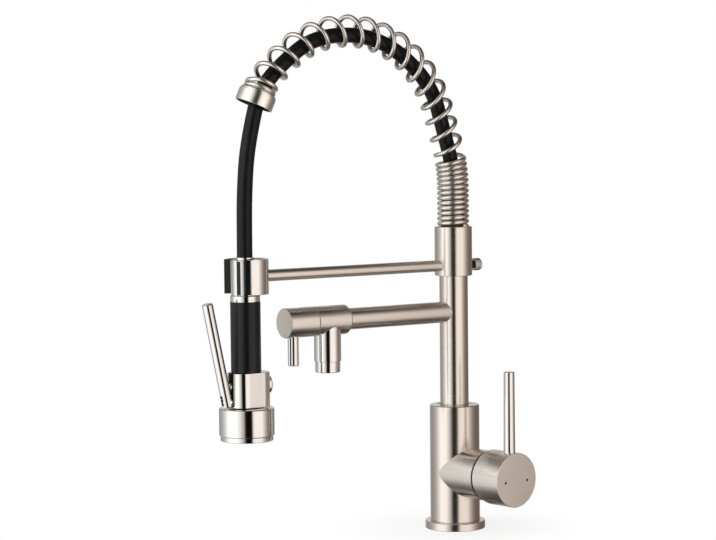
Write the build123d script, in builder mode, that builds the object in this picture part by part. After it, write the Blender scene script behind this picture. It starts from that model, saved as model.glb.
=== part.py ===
"""Pull-down kitchen faucet with a spring arch, a docking arm and a pot-filler spout.

Millimetres, +Z up. The origin is the centre of the flange's underside, on the
deck. The docking arm, the pot filler and the hose arch all run along -Y.
"""
from math import ceil, cos, pi, radians, sin, sqrt, tan
import os

from build123d import *

os.makedirs("parts", exist_ok=True)

# Deck flange and the threaded holes under it
flange_r = 29.5
flange_h = 7.5
gasket_out_r = 27.0
gasket_in_r = 22.5
gasket_h = 2.0
spigot_r = 16.5
stud_hole_r = 3.4
stud_hole_depth = 16.0
stud_hole_y = -11.0
inlet_r = 4.5
inlet_depth = 14.0
inlet_x = 9.5
inlet_y = 5.0
waterway_r = 2.5

# Upright body
body_r = 24.4
body_top = 122.0
body_rim = 1.6
bush_r = 17.0
bush_floor_z = 86.0
swivel_r = 10.0
swivel_floor_z = 68.0
swivel_fit = 0.05
cap_h = 4.1
cap_sink = 0.4
cap_gap = 0.35

# Mixer housing, cartridge and handle, on an axis turned a little from +X
mixer_z = 56.0
mixer_turn = 6.0
housing_r = body_r - 0.1
housing_end = 51.0
housing_chamfer = 1.0
chamber_r = 17.5
chamber_floor = 13.0
seal_t = 1.0
seal_w = 5.0
shoulder_d = 38.0
nut_r = 19.0
nut_h = 8.0
neck_r = 14.8
neck_len = 9.0
stem_r = 5.9
stem_fit = 0.06
stem_floor = 24.5
tongue_t = 8.0
tongue_h = 9.0
pivot_gap = 9.0
pivot_d = housing_end + pivot_gap
pin_r = 2.0
pin_fit = 0.05
flow_tilt = 14.0
hub_r = 26.3
hub_gap = 1.0
hub_face = 85.7
hub_wall = 3.0
hub_chamfer = 0.5
relief_gap = 0.4
lug_gap = 0.3
lug_t = 4.2
lug_h = 14.0
lug_reach = 6.0
web_clear = 10.0
lever_in = 9.4
lever_base_r = 5.6
lever_tip_r = 5.2
lever_top = 159.8
lever_socket = 6.5
lever_boss_r = 8.0
lever_stud_r = 3.0
lever_stud_len = 9.0
tip_round = 0.9
dot_r = 1.1
dot_x = 14.4
dot_z = -1.2
dot_depth = 1.5

# Turning column
column_r = 14.0
column_wall = 2.0
column_top = 284.0
column_fit = 0.05
washer_h = 0.95
spigot_flange_r = 16.0
spigot_flange_h = 2.7
play = 0.3
seal_section_r = 0.98
seal_groove_w = 2.4
waterway_main_r = 5.0
plug_above = 18.0
plug_len = 16.0

# Pot filler
pot_z = 213.4
pot_arm_r = 10.25
pot_arm_bore = 7.0
pot_port_r = 6.0
pot_body_start = 129.0
pot_body_end = 166.5
pot_body_r = 14.0
pot_chamfer = 2.0
pot_socket = 8.0
headwork_r = 10.0
headwork_start = 140.5
headwork_neck_r = 7.0
headwork_neck = 9.5
spindle_r = 4.0
spindle_fit = 0.05
spindle_out = 18.0
knob_gap = 0.5
knob_len = 31.5
knob_r = 14.0
knob_chamfer = 0.8
pot_lever_in = 21.6
pot_lever_r = 5.25
pot_lever_bottom = 173.0
pot_lever_socket = 5.0
outlet_l = 150.0
outlet_r = 12.85
outlet_bore = 8.0
outlet_bottom = 175.0
aerator_r = 11.85
aerator_bottom = 164.5
aerator_wall = 2.35
aerator_round = 1.5

# Support collar, docking arm and thumb screw
collar_r = 18.4
collar_bottom = 249.0
collar_top = 297.0
collar_web = 12.0
collar_chamfer = 0.7
rod_z = 259.0
rod_r = 5.5
rod_stud_r = 4.0
reach = 240.7
dock_r = 20.7
dock_wall = 3.1
dock_bottom = 243.0
dock_top = 275.5
dock_back = 1.3
dock_open = 50.0
jaw_turn = 14.0
jaw_sink = 0.1
liner_sink = 0.4
screw_z = 258.0
screw_r = 3.0
screw_neck_r = 3.6
screw_knob_r = 6.0
screw_knob_start = 28.7
screw_end = 37.4

# Hose, spring and ferrule
hose_r = 7.25
hose_bottom = 264.0
post_r = 11.0
post_bore = 8.0
post_top = 336.0
wire_r = 2.0
coil_r = 13.75
rise_top = 333.6
bend_r = 144.3
bend_turn = 18.15
slope = 31.5
arch_r = 111.46
arch_turn = 106.67
fall_r = 173.2
fall_turn = 12.81
tuck_r = 45.0
tuck_turn = 16.87
ferrule_lead = 0.5
closed_turns = 12.6
closed_pitch = 4.95
lower_turns = 4.15
lower_pitch = 17.4
upper_pitch = 19.4
end_turns = 1.5
end_pitch = 5.2
start_angle = -36.0
coil_lean = 18.0
lean_peak = 45.0
lean_ends = 110.0
lean_run = 25.0
coil_draw_in = 0.6
seat_gap = 0.3
ferrule_r = 17.85
ferrule_h = 13.5
ferrule_rim_r = 17.05
ferrule_rim_h = 2.0
ferrule_lip_r = 12.0
ferrule_lip_h = 6.0
hose_rise_top = rise_top + 0.6
hose_bend_r = bend_r - 6.8
hose_bend_turn = bend_turn - 0.68
hose_slope = slope - 3.51
hose_arch_r = arch_r + 1.86
hose_arch_turn = arch_turn + 1.15
hose_fall_r = fall_r - 30.8
hose_fall_turn = fall_turn + 1.19
hose_knee_r = tuck_r + 20.3
hose_knee_turn = tuck_turn + 8.44

# Spray wand
neck_r_wand = 13.6
neck_fit = 0.06
key_turn = 25.6
key_w = 3.6
key_depth = 1.5
neck_top_r = 8.4
neck_shoulder = 270.0
neck_top = 277.0
neck_spigot_r = 7.0
neck_spigot_len = 12.0
hose_fit = 0.05
hose_insert = 9.0
ring_r = 13.8
ring_bottom = 236.2
ring_top = 242.0
grip_r = 14.0
grip_round = 0.8
tube_r = 10.0
tube_bore = 5.0
block_half_x = 12.0
block_back = reach - 20.0
block_front = reach + 10.5
block_bottom = 139.1
block_top = 171.0
block_corner = 3.5
block_spigot_r = 11.0
block_seat = 4.5
side_z = 158.5
dome_r = 9.8
dome_h = 3.6
dome_round = 2.2
dome_stud_r = 6.0
dome_stud_len = 5.0
diverter_r = 6.5
diverter_in = 9.7
plunger_r = 3.0
plunger_fit = 0.05
plunger_gap = 0.15
plunger_round = 0.8
bush_out = 1.8
nozzle_r = 25.7
nozzle_top = 138.5
nozzle_step = 113.0
nozzle_rim_r = 24.45
nozzle_bottom = 108.0
nozzle_wall = 2.6
nozzle_round = 2.0
face_r = 21.8
face_h = 4.0
face_sink = 1.2
jet_r = 0.9
jet_tip_r = 0.6
jet_h = 1.0
jet_rings = ((0.0, 1), (5.0, 6), (10.0, 12), (15.0, 18), (19.2, 24))

# Spray lever
lever_lean = 12.0
lever_pivot_l = reach + 19.8
lever_pivot_z = 145.0
spray_lever_r = 5.1
spray_lever_up = 93.5
spray_lever_down = 4.6
spray_lever_out = 1.6
spray_pin_r = 1.5
spray_tongue_t = 4.0
spray_tongue_r = 5.4
spray_slot_gap = 0.2
spray_slot_up = 7.4

# Planes and axes that several pieces share
x_dir = Vector(1, 0, 0)
mixer_dir = Vector(cos(radians(mixer_turn)), sin(radians(mixer_turn)), 0)
mixer_across = Vector(-sin(radians(mixer_turn)), cos(radians(mixer_turn)), 0)
mixer_axis = Axis((0, 0, mixer_z), mixer_dir)
mixer_side = Plane(
    origin=(0, 0, mixer_z), x_dir=mixer_dir, z_dir=mixer_dir.cross(Vector(0, 0, 1))
)
arm_side = Plane(origin=(0, 0, 0), x_dir=(0, -1, 0), z_dir=(-1, 0, 0))
pot_axis = Axis((0, 0, pot_z), (0, -1, 0))
wand_side = Plane(origin=(0, -reach, 0), x_dir=(1, 0, 0), z_dir=(0, -1, 0))
wand_axis = Axis((0, -reach, 0), (0, 0, 1))
outlet_side = Plane(origin=(0, -outlet_l, 0), x_dir=(1, 0, 0), z_dir=(0, -1, 0))
outlet_axis = Axis((0, -outlet_l, 0), (0, 0, 1))


def mixer_plane(d):
    """A plane square to the mixer axis, d from the column's axis."""
    return Plane(
        origin=Vector(0, 0, mixer_z) + mixer_dir * d, x_dir=mixer_across, z_dir=mixer_dir
    )


def arm_plane(length, z):
    """A plane square to the arm, at this length along it and this height."""
    return Plane(origin=(0, -length, z), x_dir=(1, 0, 0), z_dir=(0, -1, 0))


# Flange: a turned ring with a groove for the gasket
with BuildPart() as base_flange:
    with BuildSketch(Plane.XZ):
        with BuildLine():
            Polyline(
                (spigot_r, 0),
                (gasket_in_r, 0),
                (gasket_in_r, gasket_h),
                (gasket_out_r, gasket_h),
                (gasket_out_r, 0),
                (flange_r, 0),
                (flange_r, flange_h - 1.2),
                (flange_r - 1.2, flange_h),
                (spigot_r, flange_h),
                close=True,
            )
        make_face()
    revolve(axis=Axis.Z)
base_flange.part.label = "base_flange"
export_step(base_flange.part, "parts/base_flange.step")

with BuildPart() as base_gasket:
    with BuildSketch(Plane.XY):
        Circle(gasket_out_r)
        Circle(gasket_in_r, mode=Mode.SUBTRACT)
    extrude(amount=gasket_h)
base_gasket.part.label = "base_gasket"
export_step(base_gasket.part, "parts/base_gasket.step")

# Body: upright and mixer housing in one casting, bored for column and cartridge
with BuildPart() as body_shell:
    with BuildSketch(Plane.XY):
        Circle(spigot_r)
    extrude(amount=flange_h)
    with BuildSketch(Plane.XY.offset(flange_h)):
        Circle(body_r)
    extrude(amount=body_top - flange_h)
    fillet(body_shell.edges().group_by(Axis.Z)[-1], body_rim)
    with BuildSketch(mixer_plane(0)):
        Circle(housing_r)
    extrude(amount=housing_end)
    chamfer(body_shell.edges().group_by(mixer_axis)[-1], housing_chamfer)
    with BuildSketch(mixer_plane(shoulder_d)):
        Circle(nut_r)
    extrude(amount=housing_end, mode=Mode.SUBTRACT)
    with BuildSketch(mixer_plane(chamber_floor)):
        Circle(chamber_r)
    extrude(amount=housing_end, mode=Mode.SUBTRACT)
    with BuildSketch(Plane.XY.offset(bush_floor_z)):
        Circle(bush_r)
    extrude(amount=body_top, mode=Mode.SUBTRACT)
    with BuildSketch(Plane.XY.offset(swivel_floor_z)):
        Circle(swivel_r + swivel_fit)
    extrude(amount=body_top, mode=Mode.SUBTRACT)
    with BuildSketch(Plane.XY):
        with Locations((0, stud_hole_y)):
            Circle(stud_hole_r)
    extrude(amount=stud_hole_depth, mode=Mode.SUBTRACT)
    with BuildSketch(Plane.XY):
        with Locations((inlet_x, inlet_y), (-inlet_x, inlet_y)):
            Circle(inlet_r)
    extrude(amount=inlet_depth, mode=Mode.SUBTRACT)
    for side in (1, -1):
        low = Vector(side * inlet_x, inlet_y, inlet_depth - waterway_r)
        high = mixer_plane(chamber_floor + 1).from_local_coords((side * 6, -7, 0))
        with BuildSketch(Plane(origin=low, z_dir=high - low)):
            Circle(waterway_r)
        extrude(amount=(high - low).length, mode=Mode.SUBTRACT)
    mixed = mixer_plane(chamber_floor + 1).from_local_coords((0, 9, 0))
    pool = Vector(0, 0, swivel_floor_z + 1)
    with BuildSketch(Plane(origin=pool, z_dir=mixed - pool)):
        Circle(waterway_r)
    extrude(amount=(mixed - pool).length, mode=Mode.SUBTRACT)
body_shell.part.label = "body_shell"
export_step(body_shell.part, "parts/body_shell.step")

# Cap, bushes and washer that carry the column in the body
cap_bottom = body_top - cap_sink - cap_h
with BuildPart() as body_cap:
    with BuildSketch(Plane.XY.offset(cap_bottom)):
        Circle(bush_r)
        Circle(column_r + cap_gap, mode=Mode.SUBTRACT)
    extrude(amount=cap_h)
body_cap.part.label = "body_cap"
export_step(body_cap.part, "parts/body_cap.step")

column_foot = bush_floor_z + washer_h + 0.05 + spigot_flange_h
bush_bottom = column_foot + play
bush_middle = (bush_bottom + cap_bottom) / 2
with BuildPart() as upper_bush:
    with BuildSketch(Plane.XY.offset(bush_middle)):
        Circle(bush_r)
        Circle(column_r + column_fit, mode=Mode.SUBTRACT)
    extrude(amount=cap_bottom - bush_middle)
upper_bush.part.label = "upper_bush"
export_step(upper_bush.part, "parts/upper_bush.step")

with BuildPart() as lower_bush:
    with BuildSketch(Plane.XZ):
        with BuildLine():
            Polyline(
                (column_r + column_fit, bush_bottom),
                (bush_r, bush_bottom),
                (bush_r, bush_middle),
                (column_r + 1, bush_middle),
                (column_r + 1, bush_middle - 4),
                (column_r + column_fit, bush_middle - 4),
                close=True,
            )
        make_face()
    revolve(axis=Axis.Z)
lower_bush.part.label = "lower_bush"
export_step(lower_bush.part, "parts/lower_bush.step")

with BuildPart() as thrust_washer:
    with BuildSketch(Plane.XY.offset(bush_floor_z)):
        Circle(bush_r)
        Circle(swivel_r + 0.6, mode=Mode.SUBTRACT)
    extrude(amount=washer_h)
thrust_washer.part.label = "thrust_washer"
export_step(thrust_washer.part, "parts/thrust_washer.step")

# Cartridge with its seal and its clamping nut
cartridge_floor = chamber_floor + seal_t
with BuildPart() as cartridge_seal:
    with BuildSketch(mixer_plane(chamber_floor)):
        Circle(chamber_r - 1)
        Circle(chamber_r - 1 - seal_w, mode=Mode.SUBTRACT)
    extrude(amount=seal_t)
cartridge_seal.part.label = "cartridge_seal"
export_step(cartridge_seal.part, "parts/cartridge_seal.step")

with BuildPart() as mixer_cartridge:
    with BuildSketch(mixer_side):
        with BuildLine():
            Polyline(
                (cartridge_floor, 0),
                (cartridge_floor, chamber_r),
                (shoulder_d, chamber_r),
                (shoulder_d, neck_r),
                (shoulder_d + neck_len, neck_r),
                (shoulder_d + neck_len, stem_r + stem_fit),
                (stem_floor, stem_r + stem_fit),
                (stem_floor, 0),
                close=True,
            )
        make_face()
    revolve(axis=mixer_axis)
mixer_cartridge.part.label = "mixer_cartridge"
export_step(mixer_cartridge.part, "parts/mixer_cartridge.step")

with BuildPart() as cartridge_nut:
    with BuildSketch(mixer_plane(shoulder_d)):
        Circle(nut_r)
        Circle(neck_r, mode=Mode.SUBTRACT)
    extrude(amount=nut_h)
cartridge_nut.part.label = "cartridge_nut"
export_step(cartridge_nut.part, "parts/cartridge_nut.step")

# Stem: turns in the cartridge, ends in a flat tongue that carries the handle
tongue_end = pivot_d + tongue_h / 2
tongue_start = shoulder_d + neck_len + 0.8
with BuildPart() as mixer_stem:
    with BuildSketch(mixer_plane(stem_floor + play)):
        Circle(stem_r)
    extrude(amount=housing_end - stem_floor)
    with BuildSketch(mixer_side) as tongue_face:
        with BuildLine():
            Polyline(
                (pivot_d, -tongue_h / 2),
                (tongue_start, -tongue_h / 2),
                (tongue_start, tongue_h / 2),
                (pivot_d, tongue_h / 2),
            )
            ThreePointArc((pivot_d, tongue_h / 2), (tongue_end, 0), (pivot_d, -tongue_h / 2))
        make_face()
        with Locations((pivot_d, 0)):
            Circle(pin_r + pin_fit, mode=Mode.SUBTRACT)
    extrude(amount=tongue_t / 2, both=True)
mixer_stem.part.label = "mixer_stem"
export_step(mixer_stem.part, "parts/mixer_stem.step")

# Hub: a hollow cup relieved low at the back, so that it can tilt
hub_back = housing_end + hub_gap
hub_floor = hub_face - hub_wall
relief_start = pivot_d - (pivot_d - housing_end - relief_gap) / cos(radians(flow_tilt))
relief_end = relief_start + (hub_r + 2) * tan(radians(flow_tilt))
lug_back = pivot_d - lug_reach
lug_web = pivot_d + web_clear
lug_in = tongue_t / 2 + lug_gap
lug_out = lug_in + lug_t
lever_foot = hub_r - lever_socket
lever_at = mixer_dir * (hub_face - lever_in)
with BuildPart() as mixer_hub:
    with BuildSketch(mixer_side):
        with BuildLine():
            Polyline(
                (hub_floor, 0),
                (hub_face, 0),
                (hub_face, hub_r - hub_chamfer),
                (hub_face - hub_chamfer, hub_r),
                (hub_back, hub_r),
                (hub_back, hub_r - hub_wall),
                (hub_floor, hub_r - hub_wall),
                close=True,
            )
        make_face()
    revolve(axis=mixer_axis)
    with BuildSketch(mixer_side):
        with BuildLine():
            Polyline(
                (lug_back, -lug_h / 2),
                (hub_floor + 0.5, -lug_h / 2),
                (hub_floor + 0.5, lug_h / 2),
                (lug_back, lug_h / 2),
                close=True,
            )
        make_face()
    extrude(amount=lug_out, both=True)
    with BuildSketch(Plane.XY.offset(mixer_z + lug_h / 4)):
        with Locations((lever_at.X, lever_at.Y)):
            Circle(lever_boss_r)
    extrude(amount=hub_r - hub_wall - lug_h / 4 + 0.5)
    with BuildSketch(mixer_side):
        with BuildLine():
            Polyline(
                (lug_back - 1, -lug_h),
                (lug_web, -lug_h),
                (lug_web, lug_h),
                (lug_back - 1, lug_h),
                close=True,
            )
        make_face()
    extrude(amount=lug_in, both=True, mode=Mode.SUBTRACT)
    with BuildSketch(mixer_side):
        with Locations((pivot_d, 0)):
            Circle(pin_r)
    extrude(amount=lug_out + 1, both=True, mode=Mode.SUBTRACT)
    with BuildSketch(mixer_side):
        with BuildLine():
            Polyline(
                (relief_start, 0),
                (relief_end, -hub_r - 2),
                (hub_back - 2, -hub_r - 2),
                (hub_back - 2, 0),
                close=True,
            )
        make_face()
    extrude(amount=hub_r + 2, both=True, mode=Mode.SUBTRACT)
    with BuildSketch(Plane.XY.offset(mixer_z + lever_foot)):
        with Locations((lever_at.X, lever_at.Y)):
            Circle(lever_base_r)
    extrude(amount=hub_r, mode=Mode.SUBTRACT)
    with BuildSketch(Plane.XY.offset(mixer_z + lever_foot - lever_stud_len)):
        with Locations((lever_at.X, lever_at.Y)):
            Circle(lever_stud_r)
    extrude(amount=hub_r, mode=Mode.SUBTRACT)
    with BuildSketch(mixer_plane(hub_face)):
        with Locations((dot_x, dot_z), (-dot_x, dot_z)):
            Circle(dot_r)
    extrude(amount=-dot_depth, mode=Mode.SUBTRACT)
mixer_hub.part.label = "mixer_hub"
export_step(mixer_hub.part, "parts/mixer_hub.step")

with BuildPart() as hub_pin:
    with BuildSketch(Plane(origin=mixer_plane(pivot_d).origin, z_dir=mixer_across)):
        Circle(pin_r)
    extrude(amount=lug_out, both=True)
hub_pin.part.label = "hub_pin"
export_step(hub_pin.part, "parts/hub_pin.step")

# Mixer lever: a slim taper, screwed into the hub
lever_side = Plane(origin=lever_at, x_dir=(1, 0, 0), z_dir=(0, -1, 0))
lever_base = mixer_z + lever_foot
with BuildPart() as mixer_lever:
    with BuildSketch(lever_side):
        with BuildLine():
            Polyline(
                (0, lever_base - lever_stud_len),
                (lever_stud_r, lever_base - lever_stud_len),
                (lever_stud_r, lever_base),
                (lever_base_r, lever_base),
                (lever_base_r, mixer_z + hub_r),
                (lever_tip_r, lever_top - tip_round),
                (lever_tip_r - tip_round, lever_top),
                (0, lever_top),
                close=True,
            )
        make_face()
    revolve(axis=Axis(lever_at, (0, 0, 1)))
mixer_lever.part.label = "mixer_lever"
export_step(mixer_lever.part, "parts/mixer_lever.step")

with BuildPart() as index_dot_hot:
    with BuildSketch(mixer_plane(hub_face)):
        with Locations((-dot_x, dot_z)):
            Circle(dot_r)
    extrude(amount=-dot_depth)
index_dot_hot.part.label = "index_dot_hot"
export_step(index_dot_hot.part, "parts/index_dot_hot.step")

with BuildPart() as index_dot_cold:
    with BuildSketch(mixer_plane(hub_face)):
        with Locations((dot_x, dot_z)):
            Circle(dot_r)
    extrude(amount=-dot_depth)
index_dot_cold.part.label = "index_dot_cold"
export_step(index_dot_cold.part, "parts/index_dot_cold.step")

# Column: tube, sealed swivel foot and the plug that ends the wet part
column_bore = column_r - column_wall
with BuildPart() as column_tube:
    with BuildSketch(Plane.XY.offset(column_foot)):
        Circle(column_r)
        Circle(column_bore, mode=Mode.SUBTRACT)
    extrude(amount=column_top - column_foot)
    with BuildSketch(arm_plane(0, pot_z)):
        Circle(pot_port_r)
    extrude(amount=column_r + 1, mode=Mode.SUBTRACT)
column_tube.part.label = "column_tube"
export_step(column_tube.part, "parts/column_tube.step")

groove_r = swivel_r - 2 * seal_section_r - 0.02
groove_low = swivel_floor_z + 4
groove_high = bush_floor_z - 4 - seal_groove_w
swivel_bottom = swivel_floor_z + 1
flange_bottom = column_foot - spigot_flange_h
with BuildPart() as swivel_spigot:
    with BuildSketch(Plane.XZ):
        with BuildLine():
            Polyline(
                (waterway_main_r, swivel_bottom),
                (swivel_r, swivel_bottom),
                (swivel_r, groove_low),
                (groove_r, groove_low),
                (groove_r, groove_low + seal_groove_w),
                (swivel_r, groove_low + seal_groove_w),
                (swivel_r, groove_high),
                (groove_r, groove_high),
                (groove_r, groove_high + seal_groove_w),
                (swivel_r, groove_high + seal_groove_w),
                (swivel_r, flange_bottom),
                (spigot_flange_r, flange_bottom),
                (spigot_flange_r, column_foot),
                (column_bore, column_foot),
                (column_bore, column_foot + 10),
                (waterway_main_r, column_foot + 10),
                close=True,
            )
        make_face()
    revolve(axis=Axis.Z)
swivel_spigot.part.label = "swivel_spigot"
export_step(swivel_spigot.part, "parts/swivel_spigot.step")

with BuildPart() as spigot_seal_lower:
    with BuildSketch(Plane.XZ):
        with Locations((groove_r + seal_section_r, groove_low + seal_groove_w / 2)):
            RegularPolygon(seal_section_r, 8)
    revolve(axis=Axis.Z)
spigot_seal_lower.part.label = "spigot_seal_lower"
export_step(spigot_seal_lower.part, "parts/spigot_seal_lower.step")

with BuildPart() as spigot_seal_upper:
    with BuildSketch(Plane.XZ):
        with Locations((groove_r + seal_section_r, groove_high + seal_groove_w / 2)):
            RegularPolygon(seal_section_r, 8)
    revolve(axis=Axis.Z)
spigot_seal_upper.part.label = "spigot_seal_upper"
export_step(spigot_seal_upper.part, "parts/spigot_seal_upper.step")

plug_bottom = pot_z + plug_above
plug_top = plug_bottom + plug_len
nipple_r = 5.0
nipple_top = hose_bottom - 2
with BuildPart() as column_plug:
    with BuildSketch(Plane.XZ):
        with BuildLine():
            Polyline(
                (nipple_r - 2, plug_bottom),
                (column_bore, plug_bottom),
                (column_bore, plug_top),
                (nipple_r, plug_top),
                (nipple_r, nipple_top),
                (nipple_r - 2, nipple_top),
                close=True,
            )
        make_face()
    revolve(axis=Axis.Z)
column_plug.part.label = "column_plug"
export_step(column_plug.part, "parts/column_plug.step")

# Pot filler: arm, tee with outlet, headwork and aerator
pot_arm_end = pot_body_start + pot_socket
with BuildPart() as pot_filler_arm:
    with BuildSketch(arm_plane(0, pot_z)):
        Circle(pot_arm_r)
    extrude(amount=pot_arm_end)
    with Locations((0, 0, pot_z)):
        Cylinder(column_r, 3 * pot_arm_r, mode=Mode.SUBTRACT)
    with BuildSketch(arm_plane(column_bore, pot_z)):
        Circle(pot_port_r)
    extrude(amount=column_r)
    with BuildSketch(arm_plane(0, pot_z)):
        Circle(pot_port_r - 1.5)
    extrude(amount=2 * column_r, mode=Mode.SUBTRACT)
    with BuildSketch(arm_plane(column_r + 6, pot_z)):
        Circle(pot_arm_bore)
    extrude(amount=pot_arm_end, mode=Mode.SUBTRACT)
pot_filler_arm.part.label = "pot_filler_arm"
export_step(pot_filler_arm.part, "parts/pot_filler_arm.step")

with BuildPart() as pot_valve_body:
    with BuildSketch(arm_side):
        with BuildLine():
            Polyline(
                (pot_body_start, pot_z),
                (pot_body_start, pot_z + pot_body_r - pot_chamfer),
                (pot_body_start + pot_chamfer, pot_z + pot_body_r),
                (pot_body_end, pot_z + pot_body_r),
                (pot_body_end, pot_z),
                close=True,
            )
        make_face()
    revolve(axis=pot_axis)
    with BuildSketch(Plane.XY.offset(outlet_bottom)):
        with Locations((0, -outlet_l)):
            Circle(outlet_r)
    extrude(amount=pot_z - outlet_bottom)
    with BuildSketch(Plane.XY.offset(outlet_bottom)):
        with Locations((0, -outlet_l)):
            Circle(outlet_bore)
    extrude(amount=pot_z - outlet_bottom, mode=Mode.SUBTRACT)
    with BuildSketch(arm_plane(pot_body_start, pot_z)):
        Circle(pot_arm_r)
    extrude(amount=pot_socket, mode=Mode.SUBTRACT)
    with BuildSketch(arm_plane(pot_body_start, pot_z)):
        Circle(pot_arm_bore)
    extrude(amount=headwork_start - pot_body_start, mode=Mode.SUBTRACT)
    with BuildSketch(arm_plane(headwork_start, pot_z)):
        Circle(headwork_r)
    extrude(amount=pot_body_end, mode=Mode.SUBTRACT)
pot_valve_body.part.label = "pot_valve_body"
export_step(pot_valve_body.part, "parts/pot_valve_body.step")

headwork_end = pot_body_end + headwork_neck
spindle_start = outlet_l + 6
with BuildPart() as pot_headwork:
    with BuildSketch(arm_side):
        with BuildLine():
            Polyline(
                (headwork_start, pot_z),
                (headwork_start, pot_z + headwork_r),
                (pot_body_end, pot_z + headwork_r),
                (pot_body_end, pot_z + headwork_neck_r),
                (headwork_end, pot_z + headwork_neck_r),
                (headwork_end, pot_z + spindle_r + spindle_fit),
                (spindle_start - play, pot_z + spindle_r + spindle_fit),
                (spindle_start - play, pot_z),
                close=True,
            )
        make_face()
    revolve(axis=pot_axis)
    with BuildSketch(arm_plane(headwork_start, pot_z)):
        Circle(spindle_r)
    extrude(amount=outlet_l - headwork_start, mode=Mode.SUBTRACT)
    with BuildSketch(Plane.XY.offset(pot_z)):
        with Locations((0, -outlet_l)):
            Circle(spindle_r)
    extrude(amount=-pot_body_r, mode=Mode.SUBTRACT)
pot_headwork.part.label = "pot_headwork"
export_step(pot_headwork.part, "parts/pot_headwork.step")

with BuildPart() as aerator_housing:
    with BuildSketch(outlet_side):
        with BuildLine():
            Polyline(
                (outlet_bore - 1.5, outlet_bottom + 7),
                (outlet_bore, outlet_bottom + 7),
                (outlet_bore, outlet_bottom),
                (aerator_r, outlet_bottom),
                (aerator_r, aerator_bottom + aerator_round),
                (aerator_r - aerator_round, aerator_bottom),
                (aerator_r - aerator_wall, aerator_bottom),
                (aerator_r - aerator_wall, outlet_bottom - 1.5),
                (outlet_bore - 1.5, outlet_bottom - 1.5),
                close=True,
            )
        make_face()
    revolve(axis=outlet_axis)
aerator_housing.part.label = "aerator_housing"
export_step(aerator_housing.part, "parts/aerator_housing.step")

with BuildPart() as aerator_insert:
    with BuildSketch(Plane.XY.offset(aerator_bottom + 1.2)):
        with Locations((0, -outlet_l)):
            Circle(aerator_r - aerator_wall)
    extrude(amount=outlet_bottom - 1.5 - aerator_bottom - 1.2)
aerator_insert.part.label = "aerator_insert"
export_step(aerator_insert.part, "parts/aerator_insert.step")

# Pot filler's knob with its spindle and its pin lever
knob_start = pot_body_end + knob_gap
knob_end = knob_start + knob_len
spindle_end = knob_start + spindle_out
pot_lever_l = knob_start + pot_lever_in
with BuildPart() as pot_spindle:
    with BuildSketch(arm_plane(spindle_start, pot_z)):
        Circle(spindle_r)
    extrude(amount=spindle_end - spindle_start)
pot_spindle.part.label = "pot_spindle"
export_step(pot_spindle.part, "parts/pot_spindle.step")

with BuildPart() as pot_knob:
    with BuildSketch(arm_side):
        with BuildLine():
            Polyline(
                (spindle_end, pot_z),
                (knob_end, pot_z),
                (knob_end, pot_z + knob_r - knob_chamfer),
                (knob_end - knob_chamfer, pot_z + knob_r),
                (knob_start, pot_z + knob_r),
                (knob_start, pot_z + headwork_neck_r + 0.4),
                (headwork_end + 0.6, pot_z + headwork_neck_r + 0.4),
                (headwork_end + 0.6, pot_z + spindle_r),
                (spindle_end, pot_z + spindle_r),
                close=True,
            )
        make_face()
    revolve(axis=pot_axis)
    with BuildSketch(Plane.XY.offset(pot_z - knob_r + pot_lever_socket)):
        with Locations((0, -pot_lever_l)):
            Circle(pot_lever_r)
    extrude(amount=-knob_r, mode=Mode.SUBTRACT)
    with BuildSketch(Plane.XY.offset(pot_z - knob_r + pot_lever_socket)):
        with Locations((0, -pot_lever_l)):
            Circle(pot_lever_r - 2.25)
    extrude(amount=pot_lever_socket, mode=Mode.SUBTRACT)
pot_knob.part.label = "pot_knob"
export_step(pot_knob.part, "parts/pot_knob.step")

pot_lever_base = pot_z - knob_r + pot_lever_socket
with BuildPart() as pot_lever:
    with BuildSketch(Plane(origin=(0, -pot_lever_l, 0), x_dir=(1, 0, 0), z_dir=(0, -1, 0))):
        with BuildLine():
            Polyline(
                (0, pot_lever_bottom),
                (pot_lever_r - tip_round, pot_lever_bottom),
                (pot_lever_r, pot_lever_bottom + tip_round),
                (pot_lever_r, pot_lever_base),
                (pot_lever_r - 2.25, pot_lever_base),
                (pot_lever_r - 2.25, pot_lever_base + pot_lever_socket),
                (0, pot_lever_base + pot_lever_socket),
                close=True,
            )
        make_face()
    revolve(axis=Axis((0, -pot_lever_l, 0), (0, 0, 1)))
pot_lever.part.label = "pot_lever"
export_step(pot_lever.part, "parts/pot_lever.step")

# Collar that swings on the column's top, with its washer and spring post
web_bottom = collar_top - collar_web
with BuildPart() as support_collar:
    with BuildSketch(Plane.XZ):
        with BuildLine():
            Polyline(
                (column_r + column_fit, collar_bottom),
                (collar_r - collar_chamfer, collar_bottom),
                (collar_r, collar_bottom + collar_chamfer),
                (collar_r, collar_top - collar_chamfer),
                (collar_r - collar_chamfer, collar_top),
                (post_r, collar_top),
                (post_r, web_bottom),
                (column_r + column_fit, web_bottom),
                close=True,
            )
        make_face()
    revolve(axis=Axis.Z)
    with BuildSketch(arm_plane(0, rod_z)):
        Circle(rod_stud_r)
    extrude(amount=collar_r + 1, mode=Mode.SUBTRACT)
    with BuildSketch(arm_plane(0, screw_z)):
        Circle(screw_r + 0.06)
    extrude(amount=-collar_r - 1, mode=Mode.SUBTRACT)
support_collar.part.label = "support_collar"
export_step(support_collar.part, "parts/support_collar.step")

with BuildPart() as collar_washer:
    with BuildSketch(Plane.XY.offset(column_top + 0.05)):
        Circle(column_r + column_fit)
        Circle(post_bore, mode=Mode.SUBTRACT)
    extrude(amount=web_bottom - column_top - 0.05)
collar_washer.part.label = "collar_washer"
export_step(collar_washer.part, "parts/collar_washer.step")

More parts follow.
